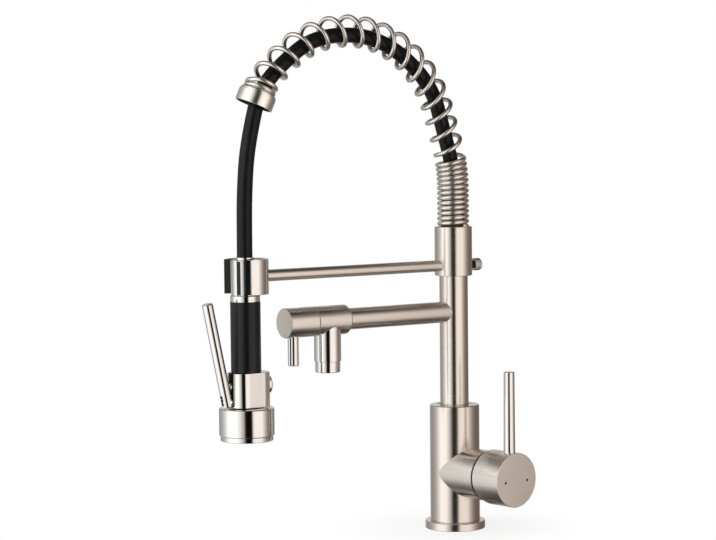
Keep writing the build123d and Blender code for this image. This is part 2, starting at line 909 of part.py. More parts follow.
with BuildPart() as spring_post:
    with BuildSketch(Plane.XY.offset(web_bottom)):
        Circle(post_r)
        Circle(post_bore, mode=Mode.SUBTRACT)
    extrude(amount=post_top - web_bottom)
    chamfer(spring_post.edges().group_by(Axis.Z)[-1].sort_by(SortBy.RADIUS)[-1], 0.8)
spring_post.part.label = "spring_post"
export_step(spring_post.part, "parts/spring_post.step")

# Docking arm: a rod, saddled on the collar and on the open dock ring
dock_in_r = dock_r - dock_wall
dock_l = reach - dock_back
dock_side = Plane(origin=(0, -dock_l, 0), x_dir=(1, 0, 0), z_dir=(0, -1, 0))
with BuildPart() as support_rod:
    with BuildSketch(arm_plane(0, rod_z)):
        Circle(rod_r)
    extrude(amount=dock_l)
    with Locations((0, 0, rod_z)):
        Cylinder(collar_r, 4 * rod_r, mode=Mode.SUBTRACT)
    with Locations((0, -dock_l, rod_z)):
        Cylinder(dock_r, 4 * rod_r, mode=Mode.SUBTRACT)
    with BuildSketch(arm_plane(column_r + 1, rod_z)):
        Circle(rod_stud_r)
    extrude(amount=collar_r - column_r + 4)
support_rod.part.label = "support_rod"
export_step(support_rod.part, "parts/support_rod.step")

jaw_start = dock_open + jaw_turn


def front_wedge(half_turn):
    """Corners of a wedge from the dock's centre towards the front."""
    side = 3 * dock_r * sin(radians(half_turn))
    front = -3 * dock_r * cos(radians(half_turn))
    return [(0, -dock_l), (-side, front - dock_l), (side, front - dock_l)]


with BuildPart() as dock_ring:
    with BuildSketch(dock_side):
        with BuildLine():
            Polyline(
                (dock_in_r, dock_bottom),
                (dock_r - 0.5, dock_bottom),
                (dock_r, dock_bottom + 0.5),
                (dock_r, dock_top - 0.5),
                (dock_r - 0.5, dock_top),
                (dock_in_r, dock_top),
                close=True,
            )
        make_face()
    revolve(axis=Axis((0, -dock_l, 0), (0, 0, 1)))
    with BuildSketch(Plane.XY.offset(dock_bottom - 1)):
        Polygon(*front_wedge(jaw_start), align=None)
    extrude(amount=dock_top - dock_bottom + 2, mode=Mode.SUBTRACT)
dock_ring.part.label = "dock_ring"
export_step(dock_ring.part, "parts/dock_ring.step")

# Liner: grips the wand's neck and shows as two black jaws at the ring's ends
with BuildPart() as dock_liner:
    with BuildSketch(Plane.XY.offset(dock_bottom + liner_sink)):
        with Locations((0, -dock_l)):
            Circle(dock_r - jaw_sink)
        Polygon(*front_wedge(jaw_start), align=None, mode=Mode.INTERSECT)
        with Locations((0, -dock_l)):
            Circle(dock_in_r)
        Polygon(*front_wedge(dock_open), align=None, mode=Mode.SUBTRACT)
        with Locations((0, -reach)):
            Circle(neck_r_wand + neck_fit, mode=Mode.SUBTRACT)
    extrude(amount=dock_top - dock_bottom - 2 * liner_sink)
dock_liner.part.label = "dock_liner"
export_step(dock_liner.part, "parts/dock_liner.step")

# Thumb screw at the back of the collar
with BuildPart() as thumb_screw:
    with BuildSketch(Plane(origin=(0, 0, screw_z), x_dir=(0, 1, 0), z_dir=(1, 0, 0))):
        with BuildLine():
            Polyline(
                (column_r + 0.4, 0),
                (column_r + 0.4, screw_r),
                (collar_r + 0.3, screw_r),
                (collar_r + 0.3, screw_neck_r),
                (screw_knob_start, screw_neck_r),
                (screw_knob_start, screw_knob_r - 0.6),
                (screw_knob_start + 0.6, screw_knob_r),
                (screw_end - 0.9, screw_knob_r),
                (screw_end, screw_knob_r - 0.9),
                (screw_end, 0),
                close=True,
            )
        make_face()
    revolve(axis=Axis((0, 0, screw_z), (0, 1, 0)))
thumb_screw.part.label = "thumb_screw"
export_step(thumb_screw.part, "parts/thumb_screw.step")

# Hose: from its coupling in the column, up the post and over inside the spring
coupling_r = 9.5
coupling_grip = 12.0
with BuildPart() as hose_coupling:
    with BuildSketch(Plane.XZ):
        with BuildLine():
            Polyline(
                (nipple_r + 0.06, plug_top + 3),
                (coupling_r, plug_top + 3),
                (coupling_r, hose_bottom + coupling_grip),
                (hose_r, hose_bottom + coupling_grip),
                (hose_r, hose_bottom),
                (nipple_r + 0.06, hose_bottom),
                close=True,
            )
        make_face()
    revolve(axis=Axis.Z)
hose_coupling.part.label = "hose_coupling"
export_step(hose_coupling.part, "parts/hose_coupling.step")

with BuildPart() as hose_arch:
    with BuildLine(arm_side) as hose_route:
        h1 = Line((0, hose_bottom), (0, hose_rise_top))
        h2 = JernArc(h1 @ 1, h1 % 1, hose_bend_r, -hose_bend_turn)
        h3 = PolarLine(h2 @ 1, hose_slope, direction=h2 % 1)
        h4 = JernArc(h3 @ 1, h3 % 1, hose_arch_r, -hose_arch_turn)
        h5 = JernArc(h4 @ 1, h4 % 1, hose_fall_r, -hose_fall_turn)
        h6 = JernArc(h5 @ 1, h5 % 1, hose_knee_r, -hose_knee_turn)
    with BuildSketch(Plane.XY.offset(hose_bottom)):
        Circle(hose_r)
    sweep(path=hose_route.wire())
hose_arch.part.label = "hose_arch"
export_step(hose_arch.part, "parts/hose_arch.step")
arch_length = hose_route.wire().length
print("hose arch radii", hose_bend_r, hose_arch_r, hose_fall_r, hose_knee_r)
print("hose arch volume / section x length", hose_arch.part.volume / (pi * hose_r**2 * arch_length))

# Hose drop: the free stretch from the ferrule down into the wand's neck
drop_start = hose_route.wire() @ 1
drop_dir = hose_route.wire() % 1
drop_l = -drop_start.Y
drop_z = drop_start.Z
drop_points = [
    (drop_l, drop_z),
    (drop_l - 32 * drop_dir.Y, drop_z + 32 * drop_dir.Z),
    (reach - 0.8, 341),
    (reach, 303.5),
    (reach, neck_top - hose_insert),
]
drop_radii = []
for before, here, after in zip(drop_points, drop_points[1:], drop_points[2:]):
    a = Vector(*here) - Vector(*before)
    b = Vector(*after) - Vector(*here)
    drop_radii.append(0.45 * min(a.length, b.length) / tan(radians(a.get_angle(b)) / 2))
print("hose drop radii", [round(r) for r in drop_radii])
with BuildPart() as hose_drop:
    with BuildLine(arm_side) as drop_route:
        FilletPolyline(*drop_points, radius=drop_radii)
    with BuildSketch(Plane(origin=drop_start, x_dir=(1, 0, 0), z_dir=drop_dir)):
        Circle(hose_r)
    sweep(path=drop_route.wire())
hose_drop.part.label = "hose_drop"
export_step(hose_drop.part, "parts/hose_drop.step")
drop_length = drop_route.wire().length
print("hose drop length", drop_length)
print("hose drop volume / section x length", hose_drop.part.volume / (pi * hose_r**2 * drop_length))

# Spring: closed turns round the post, then open turns over the arch
spring_seat = collar_top + wire_r + seat_gap
with BuildLine(arm_side) as coil_line:
    c1 = Line((0, spring_seat), (0, rise_top))
    c2 = JernArc(c1 @ 1, c1 % 1, bend_r, -bend_turn)
    c3 = PolarLine(c2 @ 1, slope, direction=c2 % 1)
    c4 = JernArc(c3 @ 1, c3 % 1, arch_r, -arch_turn)
    c5 = JernArc(c4 @ 1, c4 % 1, fall_r, -fall_turn)
    c6 = JernArc(c5 @ 1, c5 % 1, tuck_r, -tuck_turn)
    c7 = PolarLine(c6 @ 1, ferrule_h + ferrule_lead, direction=c6 % 1)
coil_wire = coil_line.wire()
coil_length = coil_wire.length
coil_end = coil_length - ferrule_lip_h - wire_r - seat_gap
mouth = coil_length - ferrule_h
closed_length = closed_turns * closed_pitch
lower_length = lower_turns * lower_pitch
end_length = end_turns * end_pitch
upper_length = coil_end - closed_length - lower_length - end_length
upper_turns = upper_length / upper_pitch
all_turns = closed_turns + lower_turns + upper_turns + end_turns
turn_marks = [0, closed_turns, closed_turns + lower_turns, all_turns - end_turns, all_turns]
length_marks = [0, closed_length, closed_length + lower_length, coil_end - end_length, coil_end]


def length_at(turn):
    """How far along the coil's centre line this turn has come."""
    for t0, t1, s0, s1 in zip(turn_marks, turn_marks[1:], length_marks, length_marks[1:]):
        if turn <= t1 or t1 == all_turns:
            return s0 + (s1 - s0) * (turn - t0) / (t1 - t0)


def lean_at(from_up):
    """Lean of an open turn whose centre line stands this far from upright."""
    if from_up < lean_peak:
        return tan(radians(coil_lean) * sin(pi / 2 * from_up / lean_peak))
    left = max(lean_ends - from_up, 0) / (lean_ends - lean_peak)
    return tan(radians(coil_lean) * sin(pi / 2 * left))


def wire_point(turn):
    """Centre of the wire after this many turns: open turns lean, and hang forward."""
    along = length_at(turn)
    share = min(max(along / coil_length, 0.0), 1.0)
    centre = coil_wire.position_at(share)
    tangent = coil_wire.tangent_at(share)
    outward = Vector(0, tangent.Z, -tangent.Y)
    angle = radians(start_angle + 360 * (turn - closed_turns))
    from_up = Vector(0, 0, 1).get_angle(tangent)
    fade = min(max((mouth - along) / lean_run, 0.0), max((along - closed_length) / lean_run, 0.0), 1.0)
    lean = lean_at(from_up) * fade
    ahead = max(-tan(radians(coil_lean) * sin(radians(2 * from_up))), 0) * fade
    radial = outward * cos(angle) - x_dir * sin(angle)
    drawn = coil_r - coil_draw_in * min(max(2 * (turn - all_turns) + 1, 0.0), 1.0)
    return centre + radial * drawn + tangent * coil_r * (lean * cos(angle) + ahead)


def wire_heading(turn):
    """Direction of the wire after this many turns."""
    return (wire_point(turn + 0.02) - wire_point(turn - 0.02)).normalized()


half_turns = ceil(2 * (all_turns - 0.1))
turn_step = (all_turns - 0.1) / half_turns
knots = [0.05 + i * turn_step for i in range(half_turns + 1)]
with BuildPart() as spring:
    with BuildLine() as wire_route:
        first = wire_point(knots[0])
        heading = wire_heading(knots[0])
        Line(first - heading * 2 * wire_r, first)
        for a, b in zip(knots, knots[1:]):
            p, q = wire_point(a), wire_point(b)
            tp, tq = wire_heading(a), wire_heading(b)
            gap = q - p
            both = tp + tq
            c = 2 * (1 - tp.dot(tq))
            reach_in = (sqrt(gap.dot(both) ** 2 + c * gap.dot(gap)) - gap.dot(both)) / c
            m0 = p + tp * reach_in
            m1 = q - tq * reach_in
            middle = (m0 + m1) * 0.5
            TangentArc(p, middle, tangent=tp)
            TangentArc(middle, q, tangent=(m1 - m0))
        Line(q, q + tq * 2 * wire_r)
    with BuildSketch(Plane(origin=first - heading * 2 * wire_r, z_dir=heading)):
        RegularPolygon(wire_r, 6)
    sweep(path=wire_route.wire(), clean=False)
spring.part.label = "spring"
export_step(spring.part, "parts/spring.step")
wire_length = wire_route.wire().length
section = 1.5 * sqrt(3) * wire_r**2
print("spring turns", all_turns, "wire length", wire_length)
print("spring volume / section x length", spring.part.volume / (section * wire_length))
marks = [wire_point(i / 16) for i in range(int(16 * all_turns))]
least = min(
    (marks[i] - marks[j]).length
    for i in range(len(marks))
    for j in range(i + 10, min(i + 40, len(marks)))
)
print("least gap of the spring to itself", least - 2 * wire_r)

# Ferrule: a cup that holds the spring's last turns, square to its centre line
cup_at = coil_wire @ 1
cup_up = (coil_wire % 1) * -1
cup_side = Plane(origin=cup_at, x_dir=(1, 0, 0), z_dir=x_dir.cross(cup_up))
cup_bore = coil_r + wire_r + seat_gap
with BuildPart() as ferrule:
    with BuildSketch(cup_side):
        with BuildLine():
            Polyline(
                (ferrule_lip_r, 0),
                (ferrule_r - 0.6, 0),
                (ferrule_r, 0.6),
                (ferrule_r, ferrule_h - ferrule_rim_h),
                (ferrule_rim_r, ferrule_h - ferrule_rim_h),
                (ferrule_rim_r, ferrule_h),
                (cup_bore, ferrule_h),
                (cup_bore, ferrule_lip_h),
                (ferrule_lip_r, ferrule_lip_h),
                close=True,
            )
        make_face()
    revolve(axis=Axis(cup_at, cup_up))
ferrule.part.label = "ferrule"
export_step(ferrule.part, "parts/ferrule.step")

# Wand: neck, ring, grip over an inner tube
with BuildPart() as wand_neck:
    with BuildSketch(wand_side):
        with BuildLine():
            Polyline(
                (neck_spigot_r - 3, ring_top - neck_spigot_len),
                (neck_spigot_r, ring_top - neck_spigot_len),
                (neck_spigot_r, ring_top),
                (neck_r_wand, ring_top),
                (neck_r_wand, neck_shoulder - 0.8),
                (neck_r_wand - 0.8, neck_shoulder),
                (neck_top_r, neck_shoulder),
                (neck_top_r, neck_top),
                (hose_r + hose_fit, neck_top),
                (hose_r + hose_fit, neck_top - hose_insert - 0.2),
                (neck_spigot_r - 3, neck_top - hose_insert - 0.2),
                close=True,
            )
        make_face()
    revolve(axis=wand_axis)
    with Locations((0, -reach, ring_top)):
        with PolarLocations(neck_r_wand, 2, -90 - key_turn, 4 * key_turn):
            Box(
                2 * key_depth,
                key_w,
                neck_shoulder - ring_top,
                align=(Align.CENTER, Align.CENTER, Align.MIN),
                mode=Mode.SUBTRACT,
            )
wand_neck.part.label = "wand_neck"
export_step(wand_neck.part, "parts/wand_neck.step")

with BuildPart() as wand_ring:
    with BuildSketch(wand_side):
        with BuildLine():
            Polyline(
                (tube_r, ring_bottom),
                (ring_r, ring_bottom),
                (ring_r, ring_top - 0.6),
                (ring_r - 0.6, ring_top),
                (tube_r, ring_top),
                close=True,
            )
        make_face()
    revolve(axis=wand_axis)
wand_ring.part.label = "wand_ring"
export_step(wand_ring.part, "parts/wand_ring.step")

with BuildPart() as grip_sleeve:
    with BuildSketch(wand_side):
        with BuildLine():
            Polyline(
                (tube_r, block_top),
                (grip_r - grip_round, block_top),
                (grip_r, block_top + grip_round),
                (grip_r, ring_bottom - grip_round),
                (grip_r - grip_round, ring_bottom),
                (tube_r, ring_bottom),
                close=True,
            )
        make_face()
    revolve(axis=wand_axis)
grip_sleeve.part.label = "grip_sleeve"
export_step(grip_sleeve.part, "parts/grip_sleeve.step")

tube_bottom = block_top - block_seat
with BuildPart() as wand_tube:
    with BuildSketch(wand_side):
        with BuildLine():
            Polyline(
                (tube_bore, tube_bottom),
                (tube_r, tube_bottom),
                (tube_r, ring_top),
                (neck_spigot_r, ring_top),
                (neck_spigot_r, ring_top - neck_spigot_len),
                (tube_bore, ring_top - neck_spigot_len),
                close=True,
            )
        make_face()
    revolve(axis=wand_axis)
wand_tube.part.label = "wand_tube"
export_step(wand_tube.part, "parts/wand_tube.step")

diverter_back = block_back + diverter_in
plunger_start = diverter_back + 6

# Valve block: tube on top, nozzle below, cap behind, plunger and lever in front
nozzle_roof = nozzle_top - nozzle_wall
with BuildPart() as valve_block:
    with BuildSketch(Plane.XY.offset(block_bottom)):
        with Locations((0, -(block_back + block_front) / 2)):
            Rectangle(2 * block_half_x, block_front - block_back)
    extrude(amount=block_top - block_bottom)
    fillet(valve_block.edges().filter_by(Axis.Z), block_corner)
    with BuildSketch(Plane.XY.offset(nozzle_roof)):
        with Locations((0, -reach)):
            Circle(block_spigot_r)
    extrude(amount=block_bottom - nozzle_roof)
    with BuildSketch(arm_side):
        with Locations((lever_pivot_l, lever_pivot_z)):
            Circle(spray_tongue_r)
        with Locations(((block_front + lever_pivot_l) / 2 - 0.5, lever_pivot_z)):
            Rectangle(lever_pivot_l - block_front + 1, 2 * spray_tongue_r)
    extrude(amount=spray_tongue_t / 2, both=True)
    with BuildSketch(arm_side):
        with Locations((lever_pivot_l, lever_pivot_z)):
            Circle(spray_pin_r + pin_fit)
    extrude(amount=spray_tongue_t, both=True, mode=Mode.SUBTRACT)
    with BuildSketch(Plane.XY.offset(tube_bottom)):
        with Locations((0, -reach)):
            Circle(tube_r)
    extrude(amount=block_seat, mode=Mode.SUBTRACT)
    with BuildSketch(Plane.XY.offset(nozzle_roof)):
        with Locations((0, -reach)):
            Circle(tube_bore)
    extrude(amount=block_top - nozzle_roof, mode=Mode.SUBTRACT)
    with BuildSketch(arm_plane(diverter_back, side_z)):
        Circle(diverter_r)
    extrude(amount=block_front, mode=Mode.SUBTRACT)
    with BuildSketch(arm_plane(block_back, side_z)):
        Circle(dome_stud_r)
    extrude(amount=dome_stud_len, mode=Mode.SUBTRACT)
valve_block.part.label = "valve_block"
export_step(valve_block.part, "parts/valve_block.step")

with BuildPart() as block_cap:
    with BuildSketch(arm_side):
        with BuildLine():
            Polyline(
                (block_back + dome_stud_len, side_z),
                (block_back + dome_stud_len, side_z + dome_stud_r),
                (block_back, side_z + dome_stud_r),
                (block_back, side_z + dome_r),
                (block_back - dome_h + dome_round, side_z + dome_r),
                (block_back - dome_h, side_z + dome_r - dome_round),
                (block_back - dome_h, side_z),
                close=True,
            )
        make_face()
    revolve(axis=Axis((0, 0, side_z), (0, -1, 0)))
block_cap.part.label = "block_cap"
export_step(block_cap.part, "parts/block_cap.step")

lean_tan = tan(radians(lever_lean))
tip_low = side_z - plunger_r + plunger_round - lever_pivot_z
rod_inside = (spray_lever_out - spray_lever_r) / cos(radians(lever_lean))
plunger_tip = lever_pivot_l + rod_inside + tip_low * lean_tan - plunger_gap
with BuildPart() as diverter:
    with BuildSketch(arm_side):
        with BuildLine():
            Polyline(
                (diverter_back, side_z),
                (diverter_back, side_z + diverter_r),
                (block_front, side_z + diverter_r),
                (block_front, side_z + plunger_r + plunger_fit),
                (plunger_start, side_z + plunger_r + plunger_fit),
                (plunger_start, side_z),
                close=True,
            )
        make_face()
    revolve(axis=Axis((0, 0, side_z), (0, -1, 0)))
diverter.part.label = "diverter"
export_step(diverter.part, "parts/diverter.step")

with BuildPart() as plunger_bush:
    with BuildSketch(arm_plane(block_front, side_z)):
        Circle(diverter_r)
        Circle(plunger_r + plunger_fit, mode=Mode.SUBTRACT)
    extrude(amount=bush_out)
    chamfer(plunger_bush.edges().group_by(Axis.Y)[0].sort_by(SortBy.RADIUS)[-1], 0.6)
plunger_bush.part.label = "plunger_bush"
export_step(plunger_bush.part, "parts/plunger_bush.step")

with BuildPart() as spray_plunger:
    with BuildSketch(arm_side):
        with BuildLine():
            Polyline(
                (plunger_start + 3, side_z),
                (plunger_start + 3, side_z + plunger_r),
                (plunger_tip - plunger_round, side_z + plunger_r),
                (plunger_tip, side_z + plunger_r - plunger_round),
                (plunger_tip, side_z),
                close=True,
            )
        make_face()
    revolve(axis=Axis((0, 0, side_z), (0, -1, 0)))
spray_plunger.part.label = "spray_plunger"
export_step(spray_plunger.part, "parts/spray_plunger.step")

# Nozzle: a turned bell with a rubber spray face
with BuildPart() as nozzle_shell:
    with BuildSketch(wand_side):
        with BuildLine():
            Polyline(
                (block_spigot_r, nozzle_top),
                (nozzle_r - nozzle_round, nozzle_top),
                (nozzle_r, nozzle_top - nozzle_round),
                (nozzle_r, nozzle_step + 0.4),
                (nozzle_rim_r, nozzle_step - 0.6),
                (nozzle_rim_r, nozzle_bottom + 0.5),
                (nozzle_rim_r - 0.5, nozzle_bottom),
                (face_r, nozzle_bottom),
                (face_r, nozzle_roof),
                (block_spigot_r, nozzle_roof),
                close=True,
            )
        make_face()
    revolve(axis=wand_axis)
nozzle_shell.part.label = "nozzle_shell"
export_step(nozzle_shell.part, "parts/nozzle_shell.step")

face_bottom = nozzle_bottom + face_sink
with BuildPart() as nozzle_face:
    with BuildSketch(Plane.XY.offset(face_bottom)):
        with Locations((0, -reach)):
            Circle(face_r)
    extrude(amount=face_h)
    for ring_at, jets in jet_rings:
        with Locations((0, -reach, face_bottom - jet_h / 2)):
            with PolarLocations(ring_at, jets):
                Cone(jet_tip_r, jet_r, jet_h)
nozzle_face.part.label = "nozzle_face"
export_step(nozzle_face.part, "parts/nozzle_face.step")

# Spray lever: a leaning rod, slotted to straddle the block's tongue
lean_up = Vector(0, -sin(radians(lever_lean)), cos(radians(lever_lean)))
lean_out = Vector(0, -cos(radians(lever_lean)), -sin(radians(lever_lean)))
pivot_at = Vector(0, -lever_pivot_l, lever_pivot_z)
rod_at = pivot_at + lean_out * spray_lever_out
rod_side = Plane(origin=rod_at, x_dir=(1, 0, 0), z_dir=x_dir.cross(lean_up))
with BuildPart() as spray_lever:
    with BuildSketch(rod_side):
        with BuildLine():
            Polyline(
                (0, -spray_lever_down),
                (spray_lever_r - tip_round, -spray_lever_down),
                (spray_lever_r, -spray_lever_down + tip_round),
                (spray_lever_r, spray_lever_up - tip_round),
                (spray_lever_r - tip_round, spray_lever_up),
                (0, spray_lever_up),
                close=True,
            )
        make_face()
    revolve(axis=Axis(rod_at, lean_up))
    with BuildSketch(rod_side):
        with Locations((0, (spray_slot_up - spray_lever_down - 1) / 2)):
            Rectangle(
                spray_tongue_t + 2 * spray_slot_gap, spray_slot_up + spray_lever_down + 1
            )
    extrude(amount=2 * spray_lever_r, both=True, mode=Mode.SUBTRACT)
    with BuildSketch(arm_side):
        with Locations((lever_pivot_l, lever_pivot_z)):
            Circle(spray_pin_r)
    extrude(amount=2 * spray_lever_r, both=True, mode=Mode.SUBTRACT)
spray_lever.part.label = "spray_lever"
export_step(spray_lever.part, "parts/spray_lever.step")

with BuildPart() as spray_pin:
    with BuildSketch(arm_side):
        with Locations((lever_pivot_l, lever_pivot_z)):
            Circle(spray_pin_r)
    extrude(amount=sqrt(spray_lever_r**2 - spray_lever_out**2) - 0.15, both=True)
spray_pin.part.label = "spray_pin"
export_step(spray_pin.part, "parts/spray_pin.step")
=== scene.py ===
from math import asin, atan2, cos, degrees, pi, radians, sin, tan

import bmesh
import bpy
from mathutils import Matrix, Vector


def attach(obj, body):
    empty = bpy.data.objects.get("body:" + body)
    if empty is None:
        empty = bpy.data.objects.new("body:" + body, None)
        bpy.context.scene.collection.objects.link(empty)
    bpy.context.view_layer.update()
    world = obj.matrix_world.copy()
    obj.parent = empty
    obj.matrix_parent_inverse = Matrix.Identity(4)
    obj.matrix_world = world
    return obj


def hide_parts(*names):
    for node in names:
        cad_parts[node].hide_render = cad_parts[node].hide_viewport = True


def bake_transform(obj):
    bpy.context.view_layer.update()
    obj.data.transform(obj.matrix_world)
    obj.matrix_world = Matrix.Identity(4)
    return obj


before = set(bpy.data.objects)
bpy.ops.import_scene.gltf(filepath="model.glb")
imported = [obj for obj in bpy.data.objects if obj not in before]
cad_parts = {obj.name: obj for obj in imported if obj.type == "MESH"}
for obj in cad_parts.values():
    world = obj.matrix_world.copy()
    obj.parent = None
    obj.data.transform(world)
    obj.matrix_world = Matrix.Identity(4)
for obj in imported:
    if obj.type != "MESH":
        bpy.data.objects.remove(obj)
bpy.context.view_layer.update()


# The camera stands about 2.2 m off with a long lens, to the right of the arms
# and a little above them, as the photograph was taken.
def placed(name, data):
    """A new object in the scene."""
    made = bpy.data.objects.new(name, data)
    bpy.context.scene.collection.objects.link(made)
    return made


eye = Vector((1.71196, -1.307946, 0.397992))
swing, dip, roll = radians(55.11), radians(3.8), radians(-0.58)
back = Vector((sin(swing) * cos(dip), -cos(swing) * cos(dip), sin(dip)))
level = Vector((cos(swing), sin(swing), 0))
upward = back.cross(level)
right = level * cos(roll) + upward * sin(roll)
upward = upward * cos(roll) - level * sin(roll)
lens = bpy.data.cameras.new("lens")
lens.sensor_fit = "HORIZONTAL"
lens.sensor_width = 36
lens.lens = 110.6145
camera = placed("camera", lens)
looks_along = Matrix((right, upward, back)).transposed().to_4x4()
camera.matrix_world = Matrix.Translation(eye) @ looks_along
bpy.context.scene.camera = camera
bpy.context.scene.view_settings.view_transform = "Standard"


# The air round the tent: plain white to the camera and in the metal, and soft
# grey for the shade, so that the page behind the faucet stays white.
class Signal:
    """A value in a material, which adds up and scales as plain numbers do."""

    def __init__(self, tree, socket=None):
        self.tree, self.socket = tree, socket

    def node(self, kind, settings=None, sockets=None, out=0):
        """Adds a node: its settings first, then its sockets' values or links."""
        made = self.tree.nodes.new(kind)
        for key, value in (settings or {}).items():
            if key == "stops":
                ramp = made.color_ramp  # it starts with two stops of its own
                for at, colour in value[2:]:
                    ramp.elements.new(at)
                for stop, (at, colour) in zip(ramp.elements, sorted(value)):
                    stop.position = at
                    tones = colour if isinstance(colour, tuple) else (colour,) * 3
                    stop.color = (*tones, 1)
            else:
                setattr(made, key, value)
        for key, value in (sockets or {}).items():
            if isinstance(value, Signal):
                self.tree.links.new(value.socket, made.inputs[key])
            else:
                made.inputs[key].default_value = value
        return Signal(self.tree, made.outputs[out] if len(made.outputs) else None)

    def also(self, output):
        """Another output of the same node."""
        return Signal(self.tree, self.socket.node.outputs[output])

    def maths(self, operation, *values):
        return self.node("ShaderNodeMath", {"operation": operation}, dict(enumerate(values)))

    def __add__(self, other):
        return self.maths("ADD", self, other)

    def __sub__(self, other):
        return self.maths("SUBTRACT", self, other)

    def __mul__(self, other):
        return self.maths("MULTIPLY", self, other)

    def __truediv__(self, other):
        return self.maths("DIVIDE", self, other)


world = bpy.data.worlds.new("studio")
bpy.context.scene.world = world
world.use_nodes = True
world.node_tree.nodes.clear()
air = Signal(world.node_tree)
path = air.node("ShaderNodeLightPath")
bent = air.maths("MAXIMUM", path.also("Is Glossy Ray"), path.also("Is Transmission Ray"))
white_out = air.maths("MAXIMUM", path.also("Is Camera Ray"), bent)
shown = air.node("ShaderNodeMix", {"data_type": "RGBA"},
                 {0: white_out, 6: (0.62, 0.615, 0.61, 1), 7: (1, 1, 1, 1)}, out=2)
sky = air.node("ShaderNodeBackground", None, {0: shown, 1: 1.0})
air.node("ShaderNodeOutputWorld", None, {0: sky})


# The tent: a round of soft boxes a metre off, which shows only in reflections.
# A tall white box stands at the camera's left and a warmer one at its right.
# Dark cloth hangs between them, and it is dim overhead and at the foot.
def meshed(name, made):
    """The mesh of a finished bmesh."""
    mesh = bpy.data.meshes.new(name)
    made.to_mesh(mesh)
    made.free()
    return mesh


def finish(name):
    """A new material, its tree and its object coordinates."""
    made = bpy.data.materials.new(name)
    made.use_nodes = True
    made.node_tree.nodes.clear()
    start = Signal(made.node_tree)
    here = start.node("ShaderNodeTexCoord", out=3)
    return made, start, here


tent_z = 0.24
tent_mesh = bmesh.new()
bmesh.ops.create_uvsphere(tent_mesh, u_segments=96, v_segments=48, radius=1.0)
bmesh.ops.translate(tent_mesh, vec=(0, 0, tent_z), verts=tent_mesh.verts)
bmesh.ops.reverse_faces(tent_mesh, faces=tent_mesh.faces)
tent = placed("tent", meshed("tent", tent_mesh))
cloth, inside, spot = finish("tent cloth")
look = inside.node("ShaderNodeVectorMath", {"operation": "SUBTRACT"}, {0: spot, 1: (0, 0, tent_z)})


def facing(direction):
    """How far a place on the tent lies along this direction."""
    return inside.node("ShaderNodeVectorMath", {"operation": "DOT_PRODUCT"},
                       {0: look, 1: direction}, out=1)


def bands(turned_by, whole, tones):
    """The tent's tones by degrees, where whole is the ramp's full span."""
    stops = [(0.5 + angle / whole, tone) for angle, tone in tones]
    return inside.node("ShaderNodeValToRGB", {"stops": stops}, {0: turned_by})


flat_back = Vector((back.x, back.y, 0)).normalized()
round_by = inside.maths("ARCTAN2", facing(level), facing(flat_back)) / (2 * pi) + 0.5
raised_by = inside.maths("ARCSINE", facing((0, 0, 1))) / pi + 0.5

# Degrees round the tent from the camera, to its right
boxes = bands(round_by, 360, [
    (-180, (0.7, 0.702, 0.708)),
    (-162, (0.58, 0.582, 0.587)),
    (-148, (0.42, 0.421, 0.425)),
    (-135, (0.36, 0.361, 0.364)),
    (-120, (0.42, 0.421, 0.425)),
    (-105, (0.54, 0.542, 0.546)),
    (-97, (0.65, 0.652, 0.658)),
    (-91, (0.76, 0.762, 0.769)),
    (-84, (1, 1.003, 1.012)),
    (-77, (1.22, 1.224, 1.235)),
    (-71, (1.42, 1.424, 1.437)),
    (-44, (1.42, 1.424, 1.437)),
    (-38, (1.2, 1.204, 1.214)),
    (-31, (0.96, 0.963, 0.972)),
    (-24, (0.66, 0.652, 0.645)),
    (-18.5, (0.44, 0.424, 0.408)),
    (-15, (0.1, 0.082, 0.068)),
    (-12, (0.006, 0.004, 0.003)),
    (8.5, (0.006, 0.004, 0.003)),
    (12, (0.42, 0.393, 0.373)),
    (15.5, (1.02, 0.974, 0.944)),
    (21, (1.2, 1.146, 1.11)),
    (54, (1.22, 1.165, 1.129)),
    (62, (1.04, 0.967, 0.931)),
    (70, (0.8, 0.72, 0.684)),
    (78, (0.58, 0.505, 0.47)),
    (85, (0.43, 0.365, 0.335)),
    (95, (0.29, 0.238, 0.217)),
    (110, (0.21, 0.168, 0.151)),
    (140, (0.19, 0.156, 0.143)),
    (158, (0.35, 0.326, 0.315)),
    (180, (0.7, 0.7, 0.7)),
])

# Degrees above and below the tent's middle
height = bands(raised_by, 180, [
    (-78, 0.22), (-64, 0.08), (-52, 0.2), (-42, 0.5), (-32, 0.88), (-12, 1),
    (22, 1), (32, 0.72), (42, 0.42), (55, 0.22), (75, 0.15),
])
studio = inside.node("ShaderNodeMix", {"data_type": "RGBA", "blend_type": "MULTIPLY"},
                     {0: 1.0, 6: boxes, 7: height}, out=2)
glow = inside.node("ShaderNodeEmission", None, {0: studio, 1: 1.0})
inside.node("ShaderNodeOutputMaterial", None, {0: glow})
tent.data.materials.append(cloth)
tent.visible_camera = False
tent.visible_diffuse = False
tent.visible_transmission = False
tent.visible_shadow = False

# The key light: a tall soft box to the front. It shapes the black parts and
# draws the shadow on the floor.
key_light = bpy.data.lights.new("soft box", "AREA")
key_light.shape = "RECTANGLE"
key_light.size, key_light.size_y = 1.2, 1.6
key_light.energy = 26
key_lamp = placed("soft box", key_light)
key_at, lit_at = Vector((0.2, -2.0, 1.6)), Vector((0, -0.1, 0.2))
shines = (key_at - lit_at).to_track_quat("Z", "Y").to_matrix().to_4x4()
key_lamp.matrix_world = Matrix.Translation(key_at) @ shines

